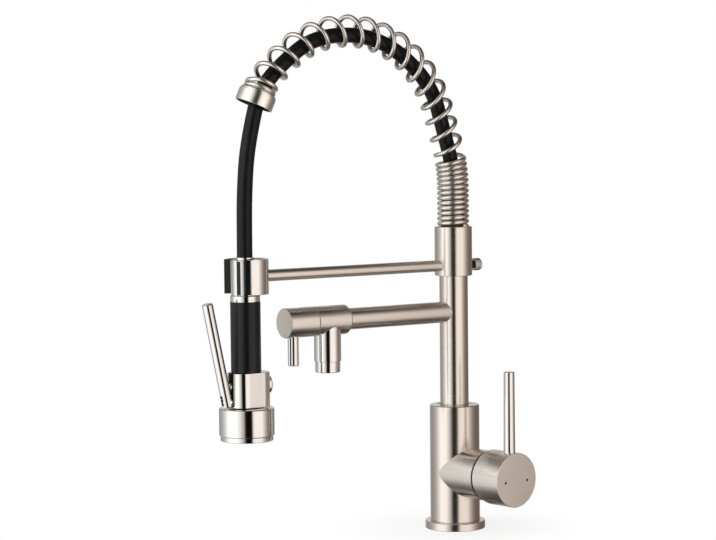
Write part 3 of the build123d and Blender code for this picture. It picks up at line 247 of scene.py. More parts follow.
# The floor: a pale sheet that keeps a faint shadow under the flange and turns
# plain white away from it.
below_flange = -0.0002
floor_mesh = bmesh.new()
bmesh.ops.create_grid(floor_mesh, x_segments=1, y_segments=1, size=6)
bmesh.ops.translate(floor_mesh, vec=(0, 0, below_flange), verts=floor_mesh.verts)
floor = placed("floor", meshed("floor", floor_mesh))
paper, sheet, spread_out = finish("pale paper")
lit = sheet.node("ShaderNodeBsdfDiffuse", None, {0: (0.93, 0.93, 0.93, 1)})
plain = sheet.node("ShaderNodeEmission", None, {0: (1, 1, 1, 1), 1: 1.0})
direct = sheet.node("ShaderNodeLightPath").also("Is Camera Ray")
far_off = sheet.node("ShaderNodeVectorMath", {"operation": "LENGTH"}, {0: spread_out}, out=1)
shade_ends, white_starts, white_least = 0.03, 0.14, 0.80
whiter = sheet.node("ShaderNodeMapRange", {"interpolation_type": "SMOOTHSTEP"},
                    {0: far_off, 1: shade_ends, 2: white_starts, 3: white_least, 4: 1.0})
paper_mix = sheet.node("ShaderNodeMixShader", None, {0: direct * whiter, 1: lit, 2: plain})
sheet.node("ShaderNodeOutputMaterial", None, {0: paper_mix})
floor.data.materials.append(paper)
floor.visible_glossy = False

# The hose: black rubber over a braided liner, 14.5 mm thick. Its lower run
# leaves the ferrule and hangs free until it goes into the wand's neck.
hose_r = 0.00725
drop_points = [
    (0, -0.227437, 0.41205),
    (0, -0.235935, 0.381198),
    (0, -0.2399, 0.341),
    (0, -0.2407, 0.3035),
    (0, -0.2407, 0.268),
]


def noise(start, here, scale, detail):
    """A cloudy value over the object's own space."""
    return start.node("ShaderNodeTexNoise", None, {
        "Vector": here, "Scale": scale, "Detail": detail})


def black(name, dark, pale, cloud_by, grain_by, bump, rough, gloss):
    """Black rubber or plastic: faint clouds from handling and an even grain.
    Clouds and grain have a scale, a detail and, for clouds, their roughness."""
    made, start, here = finish(name)
    cloud = noise(start, here, *cloud_by[:2])
    grain = noise(start, here, *grain_by)
    colour = start.node("ShaderNodeValToRGB", {"stops": [(0.3, dark), (0.75, pale)]}, {0: cloud})
    bumped = start.node("ShaderNodeBump", None, {
        "Strength": bump, "Distance": 0.0001, "Height": grain})
    skin = start.node("ShaderNodeBsdfPrincipled", None, {
        "Base Color": colour, "Roughness": cloud * cloud_by[2] + rough, "Normal": bumped,
        "Specular IOR Level": gloss})
    start.node("ShaderNodeOutputMaterial", None, {0: skin})
    return made


def hose_line(name, points, steps):
    """A smooth curve steered by the route's points, in metres."""
    line = bpy.data.curves.new(name, "CURVE")
    line.dimensions = "3D"
    spline = line.splines.new("NURBS")
    spline.points.add(len(points) - 1)
    for knot, place in zip(spline.points, points):
        knot.co = (*place, 1)
    spline.order_u = 3
    spline.use_endpoint_u = True
    line.resolution_u = steps
    return line


def tube(name, line, radius, material, rings=5):
    """A mesh tube round the line, and the line's own points."""
    holder = placed(name, line)
    bare = bpy.data.meshes.new_from_object(holder)
    places = [v.co.copy() for v in bare.vertices]
    line.bevel_depth = radius
    line.bevel_resolution = rings
    line.use_fill_caps = True
    mesh = bpy.data.meshes.new_from_object(holder)
    bpy.data.objects.remove(holder)
    mesh.name = name
    mesh.polygons.foreach_set("use_smooth", [len(p.vertices) == 4 for p in mesh.polygons])
    mesh.materials.clear()
    mesh.materials.append(material)
    return placed(name, mesh), places


black_rubber = black("hose rubber", (0.0035, 0.0035, 0.004), (0.007, 0.007, 0.008),
                     (90.0, 4.0, 0.10), (2400.0, 3.0), 0.12, 0.27, 0.20)
drop_line = hose_line("hose_fall_line", drop_points, 20)
hose_fall, fall_places = tube("hose_fall", drop_line, hose_r, black_rubber, rings=8)
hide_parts("hose_drop")
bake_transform(hose_fall)

# The hose's upper run is the same black rubber. It stands in the post, bends
# over the arch inside the spring and comes down into the ferrule.
over_points = [
    (0, 0, 0.264),
    (0, 0, 0.2991),
    (0, 0, 0.3553),
    (0, -0.0105, 0.3888),
    (0, -0.0258, 0.4372),
    (0, -0.0848, 0.4811),
    (0, -0.1583, 0.4819),
    (0, -0.2026, 0.4506),
    (0, -0.2235, 0.4262),
    (0, -0.2274, 0.412),
]
over_line = hose_line("hose_over_line", over_points, 16)
hose_over, _ = tube("hose_over", over_line, hose_r, black_rubber, rings=7)
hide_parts("hose_arch")
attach(hose_over, "upper")


# Flange: a brass ring turned from bar, plated with a warm nickel and brushed,
# with a rounded top edge. It lies on the worktop round the body's foot and
# covers the tap hole.
def nickel(name, axis, at, colour, rough, lines, spread, stretch=0.8):
    """Nickel plate, with brushed lines that run round the axis. Lines is how
    strong they show, spread how far the tone strays and stretch how much the
    lines draw the highlights out."""
    made, start, here = finish(name)
    tilt = Vector((0, 0, 1)).rotation_difference(Vector(axis)).to_euler()
    line_length, line_width = 0.02, 0.00035
    strokes = start.node("ShaderNodeMapping", {"vector_type": "TEXTURE"}, {
        "Vector": here, "Location": Vector(at) / 1000, "Rotation": tilt,
        "Scale": (line_length, line_length, line_width)})
    line = start.node("ShaderNodeTexNoise", None, {
        "Vector": strokes, "Scale": 1.0, "Detail": 5.0, "Roughness": 0.65})
    cloud = noise(start, here, 38.0, 3.0)
    cloudy = 0.35
    tone = line * lines + cloud * cloudy + (0.5 - lines * 0.5 - cloudy / 2)
    darker = tuple(c * (1 - spread) for c in colour)
    lighter = tuple(min(c * (1 + spread), 1.0) for c in colour)
    shade = start.node("ShaderNodeValToRGB", {"stops": [(0.25, darker), (0.75, lighter)]},
                       {0: tone})
    bumped = start.node("ShaderNodeBump", None, {
        "Strength": 0.10 * lines, "Distance": 0.00005, "Height": line})
    plated = start.node("ShaderNodeBsdfPrincipled", None, {
        "Base Color": shade, "Metallic": 1.0,
        "Roughness": (line - 0.5) * (0.10 * lines) + cloud * 0.03 + rough, "Normal": bumped,
        "Anisotropic": stretch, "Anisotropic Rotation": 0.25 if axis == up else 0.0})
    start.node("ShaderNodeOutputMaterial", None, {0: plated})
    return made


def turned(rows, at, axis, closed=False, steps=112):
    """A part turned on a lathe, in millimetres. Rows are radius, distance along
    the axis and, where the corner isn't rounded by just a hair, its size."""
    made = bmesh.new()
    knots = [made.verts.new((row[0], 0, row[1])) for row in rows]
    ring = knots + knots[:1] if closed else knots
    sides = [made.edges.new(pair) for pair in zip(ring, ring[1:])]
    bmesh.ops.spin(made, geom=knots + sides, cent=(0, 0, 0), axis=(0, 0, 1), angle=2 * pi,
                   steps=steps, use_merge=True)
    bmesh.ops.remove_doubles(made, verts=made.verts, dist=1e-4)
    bmesh.ops.recalc_face_normals(made, faces=made.faces)
    near, hair = 1e-3, 0.2
    for radius, along, *asked in rows:
        size = asked[0] if asked else hair
        if radius < near or not size:
            continue
        loop = [e for e in made.edges if all(
            abs(v.co.xy.length - radius) < near and abs(v.co.z - along) < near for v in e.verts)]
        bmesh.ops.bevel(made, geom=loop, offset=size, offset_type="OFFSET",
                        segments=4 if size > 0.5 else 2, profile=0.5, affect="EDGES",
                        material=-1, clamp_overlap=True)
    tip = Vector((0, 0, 1)).rotation_difference(Vector(axis)).to_matrix().to_4x4()
    bmesh.ops.transform(made, matrix=Matrix.Translation(Vector(at)) @ tip, verts=made.verts)
    return made


def fit(made, name, material, body, replaced):
    """Turns a piece in millimetres into an object on its body."""
    bmesh.ops.scale(made, vec=(0.001, 0.001, 0.001), verts=made.verts)
    mesh = meshed(name, made)
    mesh.polygons.foreach_set("use_smooth", [True] * len(mesh.polygons))
    mesh.set_sharp_from_angle(angle=radians(50))
    mesh.materials.append(material)
    piece = placed(name, mesh)
    even = piece.modifiers.new("even shading", "WEIGHTED_NORMAL")
    even.keep_sharp = True
    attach(piece, body)
    if replaced:
        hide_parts(*replaced.split())
    return piece


foot_at, up = (0, 0, 0), (0, 0, 1)
warm = (0.74, 0.672, 0.605)
upright_nickel = nickel("brushed nickel, upright", up, foot_at, warm, 0.215, 0.35, 0.04, 0.45)
fit(turned([(16.5, 0), (29.5, 0, 0.4), (29.5, 7.5, 1.0), (16.5, 7.5)], foot_at, up, closed=True),
    "flange", upright_nickel, "base", "base_flange")

# Body: a brass casting, turned and brushed. The upright has a bore for the
# column at its top and a thinner foot, which passes through the flange.
fit(turned([(0, 20), (16.5, 20), (16.5, 7.5), (24.4, 7.5, 0.3), (24.4, 122, 1.5),
            (17, 122, 0.3), (17, 86), (10.05, 86), (10.05, 68), (0, 68)], foot_at, up),
    "body_upright", upright_nickel, "base", "body_shell")

# Mixer housing: the short branch of the same casting, turned and brushed round
# its own axis. A groove near its mouth holds a ring whose black is painted shade,
# for the dark line of shade behind the hub's back rim.
mixer_turn = radians(6)
mixer_at, mixer_dir = (0, 0, 56), Vector((cos(mixer_turn), sin(mixer_turn), 0))
mixer_nickel = nickel("brushed nickel, mixer", mixer_dir, mixer_at, (0.8, 0.735, 0.67),
                      0.27, 0.5, 0.05)
black_tones = (0.002, 0.002, 0.0024), (0.0045, 0.0045, 0.005)
satin_black = black("soft black", *black_tones, (70.0, 3.0, 0.08), (1800.0, 2.0),
                    0.18, 0.26, 0.33)
housing = turned([(24.3, 0, 0), (24.3, 4, 0), (24.3, 8, 0), (24.3, 12, 0), (24.3, 16, 0),
                  (24.3, 47.6, 0.15), (22.9, 47.6, 0), (22.9, 49.6, 0), (24.3, 49.6, 0.15),
                  (24.3, 51, 0.5), (19, 51, 0.3), (19, 38), (0, 38)], mixer_at, mixer_dir)
inside_upright = 20
unseen = [f for f in housing.faces if all(v.co.xy.length < inside_upright for v in f.verts)]
bmesh.ops.delete(housing, geom=unseen, context="FACES")
fit(housing, "mixer_housing", mixer_nickel, "base", "body_shell")
# Painted shade: the black ring in the groove stands in for the shade and dark reflection behind
# the hub's rim.
fit(turned([(22.5, 47.7), (24.0, 47.7, 0.3), (24.0, 49.5, 0.3), (22.5, 49.5)],
           mixer_at, mixer_dir, closed=True),
    "rim_shade_ring", satin_black, "base", None)


# Foot: the casting's underside, which stands on the gasket. It has a blind
# hole for the fixing stud and one for each supply hose.
def only(kind, made):
    """The vertices or edges of one kind that an operator made."""
    return [g for g in made if isinstance(g, kind)]


foot_r, stud_hole_r, inlet_r = 16.5, 3.4, 4.5
foot = bmesh.new()
rims = []
for x, y, radius, depth in ((0, 0, foot_r, 7.5), (0, -11, stud_hole_r, 16),
                            (9.5, 5, inlet_r, 14), (-9.5, 5, inlet_r, 14)):
    hole = radius < foot_r
    count = 32 if hole else 64
    turns = [2 * pi * i / count for i in range(count)]
    ring = [foot.verts.new((x + radius * cos(a), y + radius * sin(a), 0)) for a in turns]
    rims.append(([foot.edges.new(pair) for pair in zip(ring, ring[1:] + ring[:1])], depth, hole))
bmesh.ops.triangle_fill(foot, use_beauty=True, edges=foot.edges[:])
for rim, depth, hole in rims:
    wall = bmesh.ops.extrude_edge_only(foot, edges=rim)["geom"]
    bmesh.ops.translate(foot, vec=(0, 0, depth), verts=only(bmesh.types.BMVert, wall))
    if hole:
        bmesh.ops.contextual_create(foot, geom=only(bmesh.types.BMEdge, wall))
bmesh.ops.recalc_face_normals(foot, faces=foot.faces)
fit(foot, "body_foot", upright_nickel, "base", "body_shell")

# Cap ring: a thin turned brass ring pressed into the body's mouth. It keeps
# the upper bush in and leaves a fine gap round the column.
fit(turned([(14.35, 117.5), (17, 117.5), (17, 121.6), (14.35, 121.6)],
           foot_at, up, closed=True),
    "cap_ring", upright_nickel, "base", "body_cap")

# Column: a drawn brass tube, plated and brushed, that turns in the body's two
# bushes and carries the pot filler and the collar.
fit(turned([(12, 89.7), (14, 89.7), (14, 284), (12, 284)], foot_at, up, closed=True),
    "column", upright_nickel, "column", "column_tube")

# Pot filler's arm: a drawn brass tube, plated and brushed, brazed into the
# column at one end and into the tee at the other.
arm_at, arm = (0, 0, 213.4), (0, -1, 0)
arm_nickel = nickel("brushed nickel, arm", arm, arm_at, warm, 0.25, 0.3, 0.04)
fit(turned([(0, 9), (10.25, 9), (10.25, 137), (0, 137)], arm_at, arm),
    "pot_arm", arm_nickel, "column", "pot_filler_arm")

# Tee: the pot filler's valve body, turned brass with a brushed barrel and a
# buffed outlet, which is brazed on at right angles.
outlet_at = (0, -150, 213.4)
bright = nickel("bright nickel", up, foot_at, (0.77, 0.742, 0.705), 0.075, 0.0, 0.025, 0.0)
fit(turned([(0, 129), (12, 129, 0.3), (14, 131, 0.4), (14, 166.5, 0.35), (0, 166.5)],
           arm_at, arm),
    "pot_tee", arm_nickel, "column", "pot_valve_body")
fit(turned([(0, -38.4), (12.85, -38.4, 0.4), (12.85, 0), (0, 0)], outlet_at, up),
    "pot_outlet", bright, "column", "pot_valve_body")

# Aerator: a buffed brass sleeve screwed into the outlet, with a step at its
# lip. Its plastic insert keeps its own solid.
fit(turned([(0, -41), (9.5, -41), (9.5, -48.9, 0.2), (10.35, -48.9, 0.3), (11.85, -48.9, 0.9),
            (11.85, -38.4), (0, -38.4)], outlet_at, up),
    "aerator", bright, "column", "aerator_housing")

# Knob: a turned brass cap of the tee's own width, which turns the ceramic
# valve by a quarter. It has a flat end and a recess towards the tee.
fit(turned([(0, 175), (7.4, 175), (7.4, 167), (14, 167, 0.35), (14, 198.5, 0.8), (0, 198.5)],
           arm_at, arm),
    "knob", arm_nickel, "pot_knob", "pot_knob")

# Knob's lever: a short buffed brass pin, pressed into the knob from below, that
# a finger pushes aside.
fit(turned([(0, 173), (5.25, 173, 0.9), (5.25, 204), (0, 204)], (0, -188.6, 0), up),
    "knob_pin", bright, "pot_knob", "pot_lever")

# Collar: a turned brass sleeve, brushed, that turns on the column's top. It
# carries the docking arm and, on its shoulder, the spring.
fit(turned([(14.05, 249), (18.4, 249, 0.6), (18.4, 297, 0.7), (11, 297), (11, 285),
            (14.05, 285)], foot_at, up, closed=True),
    "collar", upright_nickel, "upper", "support_collar")

# Dock's rod: a solid brushed bar, brazed into the collar and the dock ring.
# It holds the wand at the arch's reach.
fit(turned([(0, 15), (5.5, 15), (5.5, 222), (0, 222)], (0, 0, 259), arm),
    "dock_rod", arm_nickel, "upper", "support_rod")

# Dock ring: a buffed brass ring, open at the front, that the wand's neck hangs
# in. It is bent from bar and brazed to the rod.
dock_y, dock_turn = -239.4, 5.5
jaw_in, jaw_out = 64 + dock_turn, 296 + dock_turn


def arc(radius, start, end, y=dock_y, steps=48, x=0.0):
    """Places on an arc round the dock, by degrees from the front towards +X."""
    turns = [radians(start + (end - start) * i / steps) for i in range(steps + 1)]
    return [(x + radius * sin(a), y - radius * cos(a)) for a in turns]


def plate(outline, low, high, edge):
    """A flat outline raised to a solid, with its sharp edges rounded."""
    made = bmesh.new()
    base = made.faces.new([made.verts.new((x, y, low)) for x, y in outline])
    lid = bmesh.ops.extrude_face_region(made, geom=[base])["geom"]
    bmesh.ops.translate(made, vec=(0, 0, high - low), verts=only(bmesh.types.BMVert, lid))
    bmesh.ops.recalc_face_normals(made, faces=made.faces)
    corners = [e for e in made.edges
               if len(e.link_faces) == 2 and e.calc_face_angle() > radians(30)]
    bmesh.ops.bevel(made, geom=corners, offset=edge, offset_type="OFFSET", segments=3,
                    profile=0.5, affect="EDGES", material=-1)
    return made


fit(plate(arc(20.9, jaw_in, jaw_out, steps=112) + arc(17.6, jaw_out, jaw_in, steps=96),
          243, 275.5, 0.4),
    "dock", bright, "upper", "dock_ring")

# Thumb screw: a turned steel screw with a black neck and a fluted, plated
# head. It goes through the collar's back and clamps the column.
screw_at = (0, 0, 258.6)
wire_nickel = nickel("spring wire", up, foot_at, (0.80, 0.745, 0.69), 0.25, 0.15, 0.04, 0.0)
fit(turned([(0, 14.4), (3, 14.4), (3, 18.7), (3.9, 18.7, 0.3), (3.9, 24.2), (0, 24.2)],
           screw_at, (0, 1, 0)),
    "collar_screw", satin_black, "thumb_screw", "thumb_screw")
head_r, flute_count, flute_depth = 5.95, 24, 0.12
head_steps = 10 * flute_count
flutes = []
for i in range(head_steps):
    about = 2 * pi * i / head_steps
    ridge = head_r + flute_depth * cos(flute_count * about)
    flutes.append((ridge * cos(about), ridge * sin(about)))
screw_head = plate(flutes, 23.6, 31.6, 0.7)
bmesh.ops.rotate(screw_head, cent=(0, 0, 0), matrix=Matrix.Rotation(radians(-90), 3, "X"),
                 verts=screw_head.verts)
bmesh.ops.translate(screw_head, vec=screw_at, verts=screw_head.verts)
fit(screw_head, "screw_head", wire_nickel, "thumb_screw", "thumb_screw")

# Spring: one plated steel wire, wound close on the post and open over the
# arch, where the hose hangs in it. Its line's runs are lengths in millimetres,
# or a bend's radius and its degrees.
coil_foot = 299.3
coil_runs = [(34.3, 0), (144.3, 18.15), (31.5, 0), (111.46, 106.67), (173.2, 12.81),
             (45.0, 16.87), (14.0, 0)]
wire_r, coil_r = 2.2, 13.55
closed_turns, closed_pitch = 12.6, 4.95
lower_turns, lower_pitch = 4.15, 17.4
upper_pitch = 19.4
end_turns, end_pitch, end_draw = 2.55, 4.25, 0.6
start_angle, fade_over = -36, 25
lean_most, lean_full_at, lean_gone_at = 18, 45, 110
cup_floor, cup_depth, wire_gap = 6.0, 13.5, 0.3
steps_each_turn = 36


def coil_place(along):
    """Centre and heading of the spring's own line at this distance."""
    length, rise, heading = 0.0, coil_foot, 0.0
    for size, bend in coil_runs:
        run = size * radians(bend) if bend else size
        part = min(along, run)
        along -= part
        if bend:
            step = part / size
            length += size * (cos(heading) - cos(heading + step))
            rise += size * (sin(heading + step) - sin(heading))
            heading += step
        else:
            length += part * sin(heading)
            rise += part * cos(heading)
        if along <= 1e-9:
            break
    return Vector((0, -length, rise)), heading


coil_length = sum(size * radians(bend) if bend else size for size, bend in coil_runs)
coil_end = coil_length - cup_floor - wire_r - wire_gap
mouth = coil_length - cup_depth
closed_length = closed_turns * closed_pitch
lower_length = lower_turns * lower_pitch
end_length = end_turns * end_pitch
upper_turns = (coil_end - closed_length - lower_length - end_length) / upper_pitch
all_turns = closed_turns + lower_turns + upper_turns + end_turns
turn_marks = [0, closed_turns, closed_turns + lower_turns, all_turns - end_turns, all_turns]
length_marks = [0, closed_length, closed_length + lower_length, coil_end - end_length, coil_end]


def wire_place(turn):
    """Centre of the wire after this many turns, in metres. The open turns tilt
    on the way up and over the top, and sag along the line on the way down."""
    for t0, t1, s0, s1 in zip(turn_marks, turn_marks[1:], length_marks, length_marks[1:]):
        if turn <= t1 or t1 == all_turns:
            along = s0 + (s1 - s0) * (turn - t0) / (t1 - t0)
            break
    centre, heading = coil_place(along)
    angle = radians(start_angle + 360 * (turn - closed_turns))
    fade = min(max((mouth - along) / fade_over, 0),
               max((along - closed_length) / fade_over, 0), 1)
    if heading < radians(lean_full_at):
        left = heading / radians(lean_full_at)
    else:
        left = max(radians(lean_gone_at) - heading, 0) / radians(lean_gone_at - lean_full_at)
    lean = tan(radians(lean_most) * sin(pi / 2 * left)) * fade
    ahead = max(-tan(radians(lean_most) * sin(2 * heading)), 0) * fade
    outward = Vector((0, cos(heading), sin(heading)))
    tangent = Vector((0, -sin(heading), cos(heading)))
    drawn = coil_r - end_draw * min(max(2 * (turn - all_turns) + 1, 0), 1)
    around = (outward * cos(angle) - Vector((1, 0, 0)) * sin(angle)) * drawn
    return (centre + around + tangent * coil_r * (lean * cos(angle) + ahead)) / 1000


wire_line = bpy.data.curves.new("spring_line", "CURVE")
wire_line.dimensions = "3D"
wire_spline = wire_line.splines.new("POLY")
marks = int(all_turns * steps_each_turn)
first_turn, turned_in_all = -0.5, all_turns + 0.43
wire_spline.points.add(marks)
for i, knot in enumerate(wire_spline.points):
    knot.co = (*wire_place(first_turn + i * turned_in_all / marks), 1)
coil, _ = tube("coil", wire_line, wire_r / 1000, wire_nickel, rings=5)
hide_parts("spring")
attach(coil, "upper")

# Ferrule: a turned brass cup with a step, brushed, that ends the spring. The
# hose comes out through the black plastic bush pressed into it.
cup_at, cup_up = (-1.43, -228.24, 415.97), (0.119, 0.366, 0.923)
cup_nickel = nickel("brushed nickel, ferrule", cup_up, cup_at, (0.86, 0.815, 0.77),
                    0.22, 0.3, 0.04, 0.0)
matt_black = black("matt black", *black_tones, (70.0, 3.0, 0.08), (1800.0, 2.0),
                   0.18, 0.75, 0.04)
fit(turned([(16.65, 0, 0.2), (17.85, 0, 0.4), (17.85, 11.5, 0.25), (17.05, 11.5, 0.1),
            (17.05, 13.5, 0.4), (16.05, 13.5), (16.05, 6), (16.65, 6)],
           cup_at, cup_up, closed=True),
    "ferrule_cup", cup_nickel, "upper", "ferrule")
fit(turned([(0, 0.3), (16.6, 0.3, 0.2), (16.6, 5.9), (0, 5.9)], cup_at, cup_up),
    "ferrule_bush", matt_black, "upper", None)

# Wand's neck: a buffed brass sleeve that hangs in the dock. Two keyways down
# its front hold black plastic keys, which stop it turning in the liner.
wand_y = -240.7
wand = (0, wand_y, 0)
neck_r, keyway_r, key_half = 12.9, 11.4, 1.8
keys_at = (-25.6 + dock_turn, 25.6 + dock_turn)
key_out = (neck_r ** 2 - key_half ** 2) ** 0.5
key_angle = degrees(atan2(key_half, key_out))
outline = []
for facing_by in keys_at:
    aim = Matrix.Rotation(radians(facing_by - 90), 2)
    if outline:
        outline += arc(neck_r, keys_at[0] + key_angle, keys_at[1] - key_angle, wand_y, 16)[1:-1]
    for place in ((key_out, -key_half), (keyway_r, -key_half), (keyway_r, key_half),
                  (key_out, key_half)):
        outline.append(tuple(aim @ Vector(place) + Vector((0, wand_y))))
outline += arc(neck_r, keys_at[1] + key_angle, 360 + keys_at[0] - key_angle, wand_y, 120)[1:-1]
fit(plate(outline, 242, 274.8, 0.5), "neck", bright, "wand", "wand_neck")
keys = bmesh.new()
for facing_by in keys_at:
    made = bmesh.ops.create_cube(keys, size=1)["verts"]
    aim = Matrix.Rotation(radians(facing_by - 90), 3, "Z")
    bmesh.ops.scale(keys, vec=(0.9, 3.5, 31), verts=made)
    bmesh.ops.translate(keys, vec=(11.85, 0, 258.2), verts=made)
    bmesh.ops.rotate(keys, cent=(0, 0, 0), matrix=aim, verts=made)
    bmesh.ops.translate(keys, vec=wand, verts=made)
fit(keys, "neck_keys", satin_black, "wand", None)
fit(turned([(7.3, 274), (8.4, 274), (8.4, 277, 0.4), (7.3, 277)], wand, up, closed=True),
    "neck_top", bright, "wand", "wand_neck")

# Wand's ring: a narrow buffed brass ring, which clamps the rubber grip's upper
# end under the neck.
fit(turned([(10, 236.2), (13.8, 236.2, 0.3), (13.8, 242, 0.6), (10, 242)],
           wand, up, closed=True),
    "neck_ring", bright, "wand", "wand_ring")

# Grip: a soft black rubber sleeve, moulded and pushed over the wand's brass
# tube, for the hand to hold.
fit(turned([(10, 171), (14, 171, 0.8), (14, 236.2, 0.8), (10, 236.2)], wand, up, closed=True),
    "grip", satin_black, "wand", "grip_sleeve")

# Dock's liner: black moulded plastic, snapped into the dock ring. It grips the
# neck and ends in the two jaws that show at the ring's mouth.
grip_in, grip_out = 54.2 + dock_turn, 305.8 + dock_turn
liner_in, liner_out = 50 + dock_turn, 310 + dock_turn
fit(plate(arc(20.8, liner_in, jaw_in, steps=8) + arc(17.6, jaw_in, jaw_out, steps=96)
          + arc(20.8, jaw_out, liner_out, steps=8)
          + arc(13.66, grip_out, grip_in, wand_y, steps=96), 243.4, 275.1, 0.3),
    "liner", satin_black, "upper", "dock_liner")

# Valve block: a brass forging with a buffed, rounded front and back and flat
# satin sides. The spray lever hinges on a tongue in its front slot.
slot_half, slot_back = 4.4, -252.8
nose_r, nose_x, front_y, back_y = 12, 2.0, -245.8, -230.6
slot_turn = degrees(asin((slot_half - nose_x) / nose_r))
block = fit(plate(arc(nose_r, slot_turn, 90, front_y, 20, nose_x)
                  + arc(nose_r, 90, 180, back_y, 20, nose_x)
                  + arc(nose_r, 180, 270, back_y, 20, -nose_x)
                  + arc(nose_r, 270, 360 - slot_turn, front_y, 20, -nose_x)
                  + [(-slot_half, slot_back), (slot_half, slot_back)], 139.1, 171, 0.45),
            "block", bright, "wand", "valve_block")
block.data.materials.append(nickel("satin nickel, block", arm, (0, 0, 155),
                                   (0.74, 0.70, 0.665), 0.3, 0.3, 0.03, 0.0))
side_area = 0.0001
for face in block.data.polygons:
    if abs(face.normal.x) > 0.999 and face.area > side_area:
        face.material_index = 1
ear_r, ear_thick, ear_back, ear_at = 5.4, 4, 6, (0, -260.5, 145)
tongue = bmesh.new()
bmesh.ops.create_circle(tongue, cap_ends=True, segments=40, radius=ear_r)
bmesh.ops.translate(tongue, vec=(0, 0, -ear_thick / 2), verts=tongue.verts)
ear = bmesh.ops.extrude_face_region(tongue, geom=tongue.faces[:])["geom"]
bmesh.ops.translate(tongue, vec=(0, 0, ear_thick), verts=only(bmesh.types.BMVert, ear))
bmesh.ops.recalc_face_normals(tongue, faces=tongue.faces)
bmesh.ops.rotate(tongue, cent=(0, 0, 0), matrix=Matrix.Rotation(radians(90), 3, "Y"),
                 verts=tongue.verts)
for v in tongue.verts:
    if v.co.y > 0:
        v.co.y += ear_back
bmesh.ops.translate(tongue, vec=ear_at, verts=tongue.verts)
fit(tongue, "tongue", bright, "wand", "valve_block")

# Block's cap: a buffed brass plug with a rounded end, screwed into the block's
# back over the diverter.
fit(turned([(0, 217.1), (9.8, 217.1, 2.0), (9.8, 227), (0, 227)], (0, 0, 158.5), arm),
    "block_dome", bright, "wand", "block_cap")

# Button's guide: a moulded strip that fills the block's front slot. Its black is painted
# shade for the dark, shaded gap between the lever and the block. The plunger slides
# through it when the lever is squeezed.
guide = bmesh.new()
bmesh.ops.create_cube(guide, size=1)
bmesh.ops.scale(guide, vec=(8.7, 1.6, 31.6), verts=guide.verts)
bmesh.ops.translate(guide, vec=(0, -253.4, 155.05), verts=guide.verts)
bmesh.ops.bevel(guide, geom=guide.edges[:], offset=0.3, offset_type="OFFSET", segments=2,
                profile=0.5, affect="EDGES", material=-1)
fit(guide, "button_guide_slot_shade", satin_black, "wand", "plunger_bush")

# Nozzle: a spun brass shell, buffed, screwed under the block. It has a rounded
# shoulder and a stepped lip round the black spray face.
fit(turned([(11, 138.5), (25.7, 138.5, 1.8), (25.7, 113.2, 0.3), (24.45, 112.6, 0.2),
            (24.45, 108, 0.5), (21.8, 108, 0.3), (21.8, 135.9), (11, 135.9)],
           wand, up, closed=True, steps=144),
    "nozzle", bright, "wand", "nozzle_shell")

# Mixer hub: a brass cap, turned and brushed, that fits over the housing's
# mouth. Its skirt is cut at an angle, so that it can tilt by 14 degrees.
hub = turned([(0, 82.7), (23.3, 82.7), (23.3, 52, 0.15), (26.3, 52, 0.2), (26.3, 85.7, 0.5),
              (0, 85.7)], mixer_at, mixer_dir)
flow_tilt = radians(14)
cut_through = Vector(mixer_at) + mixer_dir * 51.14
cut_across = (mixer_dir * cos(flow_tilt) + Vector((0, 0, sin(flow_tilt)))).normalized()
cut = bmesh.ops.bisect_plane(hub, geom=hub.verts[:] + hub.edges[:] + hub.faces[:],
                             dist=0.0001, plane_co=cut_through, plane_no=cut_across,
                             clear_inner=True)["geom_cut"]
bmesh.ops.contextual_create(hub, geom=only(bmesh.types.BMEdge, cut))
bmesh.ops.recalc_face_normals(hub, faces=hub.faces)
fit(hub, "hub", mixer_nickel, "mixer_handle", "mixer_hub")

# Index dots: two drops of dark paint in shallow holes in the hub's end, for
# hot and cold.
dots_z, dot_aside, dot_r = 54.8, 14.4, 1.35
mixer_side = Vector((-mixer_dir.y, mixer_dir.x, 0))
for name, aside in (("index_dot_hot", -dot_aside), ("index_dot_cold", dot_aside)):
    fit(turned([(0, 84.5), (dot_r, 84.5), (dot_r, 85.75, 0.15), (0, 85.75)],
               Vector((0, 0, dots_z)) + mixer_side * aside, mixer_dir, steps=32),
        name + "_paint", satin_black, "mixer_handle", name)

# Painted shade: a thin black ring on the housing's mouth, which stands in for the deep
# shade in the gap between the housing and the hub and shows as a dark line there.
fit(turned([(19.1, 50.9), (20.5, 50.9), (20.5, 53.6), (19.1, 53.6)],
           mixer_at, mixer_dir, closed=True),
    "gap_shade_ring", satin_black, "base", None)

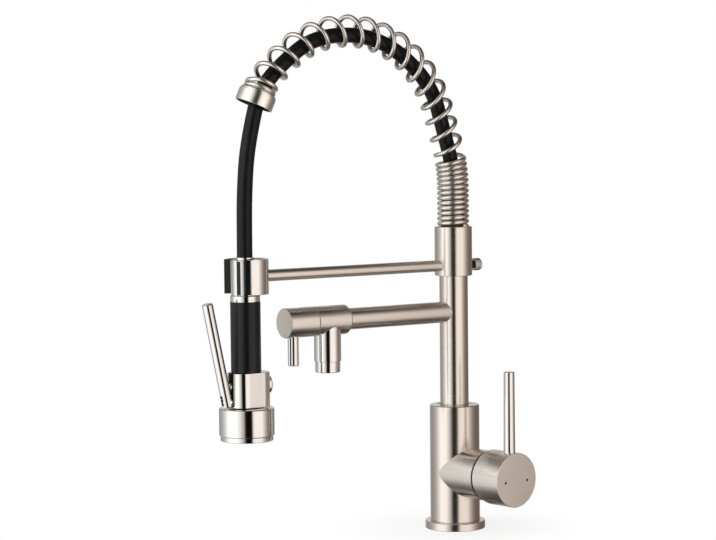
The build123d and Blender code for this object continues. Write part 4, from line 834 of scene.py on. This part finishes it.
# Mixer lever: a slim buffed brass rod, slightly tapered, with a rounded top
# edge. Its foot is screwed into the hub from above.
lever_at = mixer_dir * 76.3
fit(turned([(0, 75.8), (5.6, 75.8), (5.6, 82.3), (5.2, 159.8, 0.9), (0, 159.8)],
           (lever_at.x, lever_at.y, 0), up),
    "lever", bright, "mixer_handle", "mixer_lever")


# The pieces that keep their own solids: the spray lever, and the works inside,
# which show only through gaps and at the mouths. They are turned brass, moulded
# plastic, rubber and steel.
def works(name, dark, pale, rough, metallic, scale):
    """A plain machined or moulded finish with faint clouds."""
    made, start, here = finish(name)
    cloud = noise(start, here, scale, 4.0)
    shade = start.node("ShaderNodeValToRGB", {"stops": [(0.3, dark), (0.7, pale)]}, {0: cloud})
    bumped = start.node("ShaderNodeBump", None, {
        "Strength": 0.08, "Distance": 0.0001, "Height": cloud})
    skin = start.node("ShaderNodeBsdfPrincipled", None, {
        "Base Color": shade, "Metallic": metallic, "Roughness": cloud * 0.08 + rough,
        "Normal": bumped})
    start.node("ShaderNodeOutputMaterial", None, {0: skin})
    return made


turned_brass = works("turned brass", (0.60, 0.47, 0.24), (0.74, 0.60, 0.33), 0.30, 1.0, 900)
# The spring's post: brass darkened almost to black, painted shade for the shade between the coils
# round it.
post_shade_brass = works("brass with painted shade", (0.05, 0.036, 0.024), (0.09, 0.066, 0.045), 0.45, 1.0, 500)
white_plastic = works("white plastic", (0.72, 0.72, 0.70), (0.80, 0.80, 0.78), 0.42, 0.0, 300)
ceramic = works("cartridge grey", (0.20, 0.21, 0.22), (0.27, 0.28, 0.29), 0.38, 0.0, 300)
finishes = {
    bright: "spray_lever spray_pin spray_plunger hub_pin",
    turned_brass: "swivel_spigot column_plug pot_headwork pot_spindle hose_coupling"
                  " wand_tube diverter cartridge_nut mixer_stem",
    post_shade_brass: "spring_post",
    white_plastic: "upper_bush lower_bush thrust_washer collar_washer",
    ceramic: "mixer_cartridge",
    satin_black: "nozzle_face aerator_insert base_gasket cartridge_seal spigot_seal_lower"
                 " spigot_seal_upper",
}
for finish_of, nodes in finishes.items():
    for node in nodes.split():
        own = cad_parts[node].data.materials
        own.clear()
        own.append(finish_of)
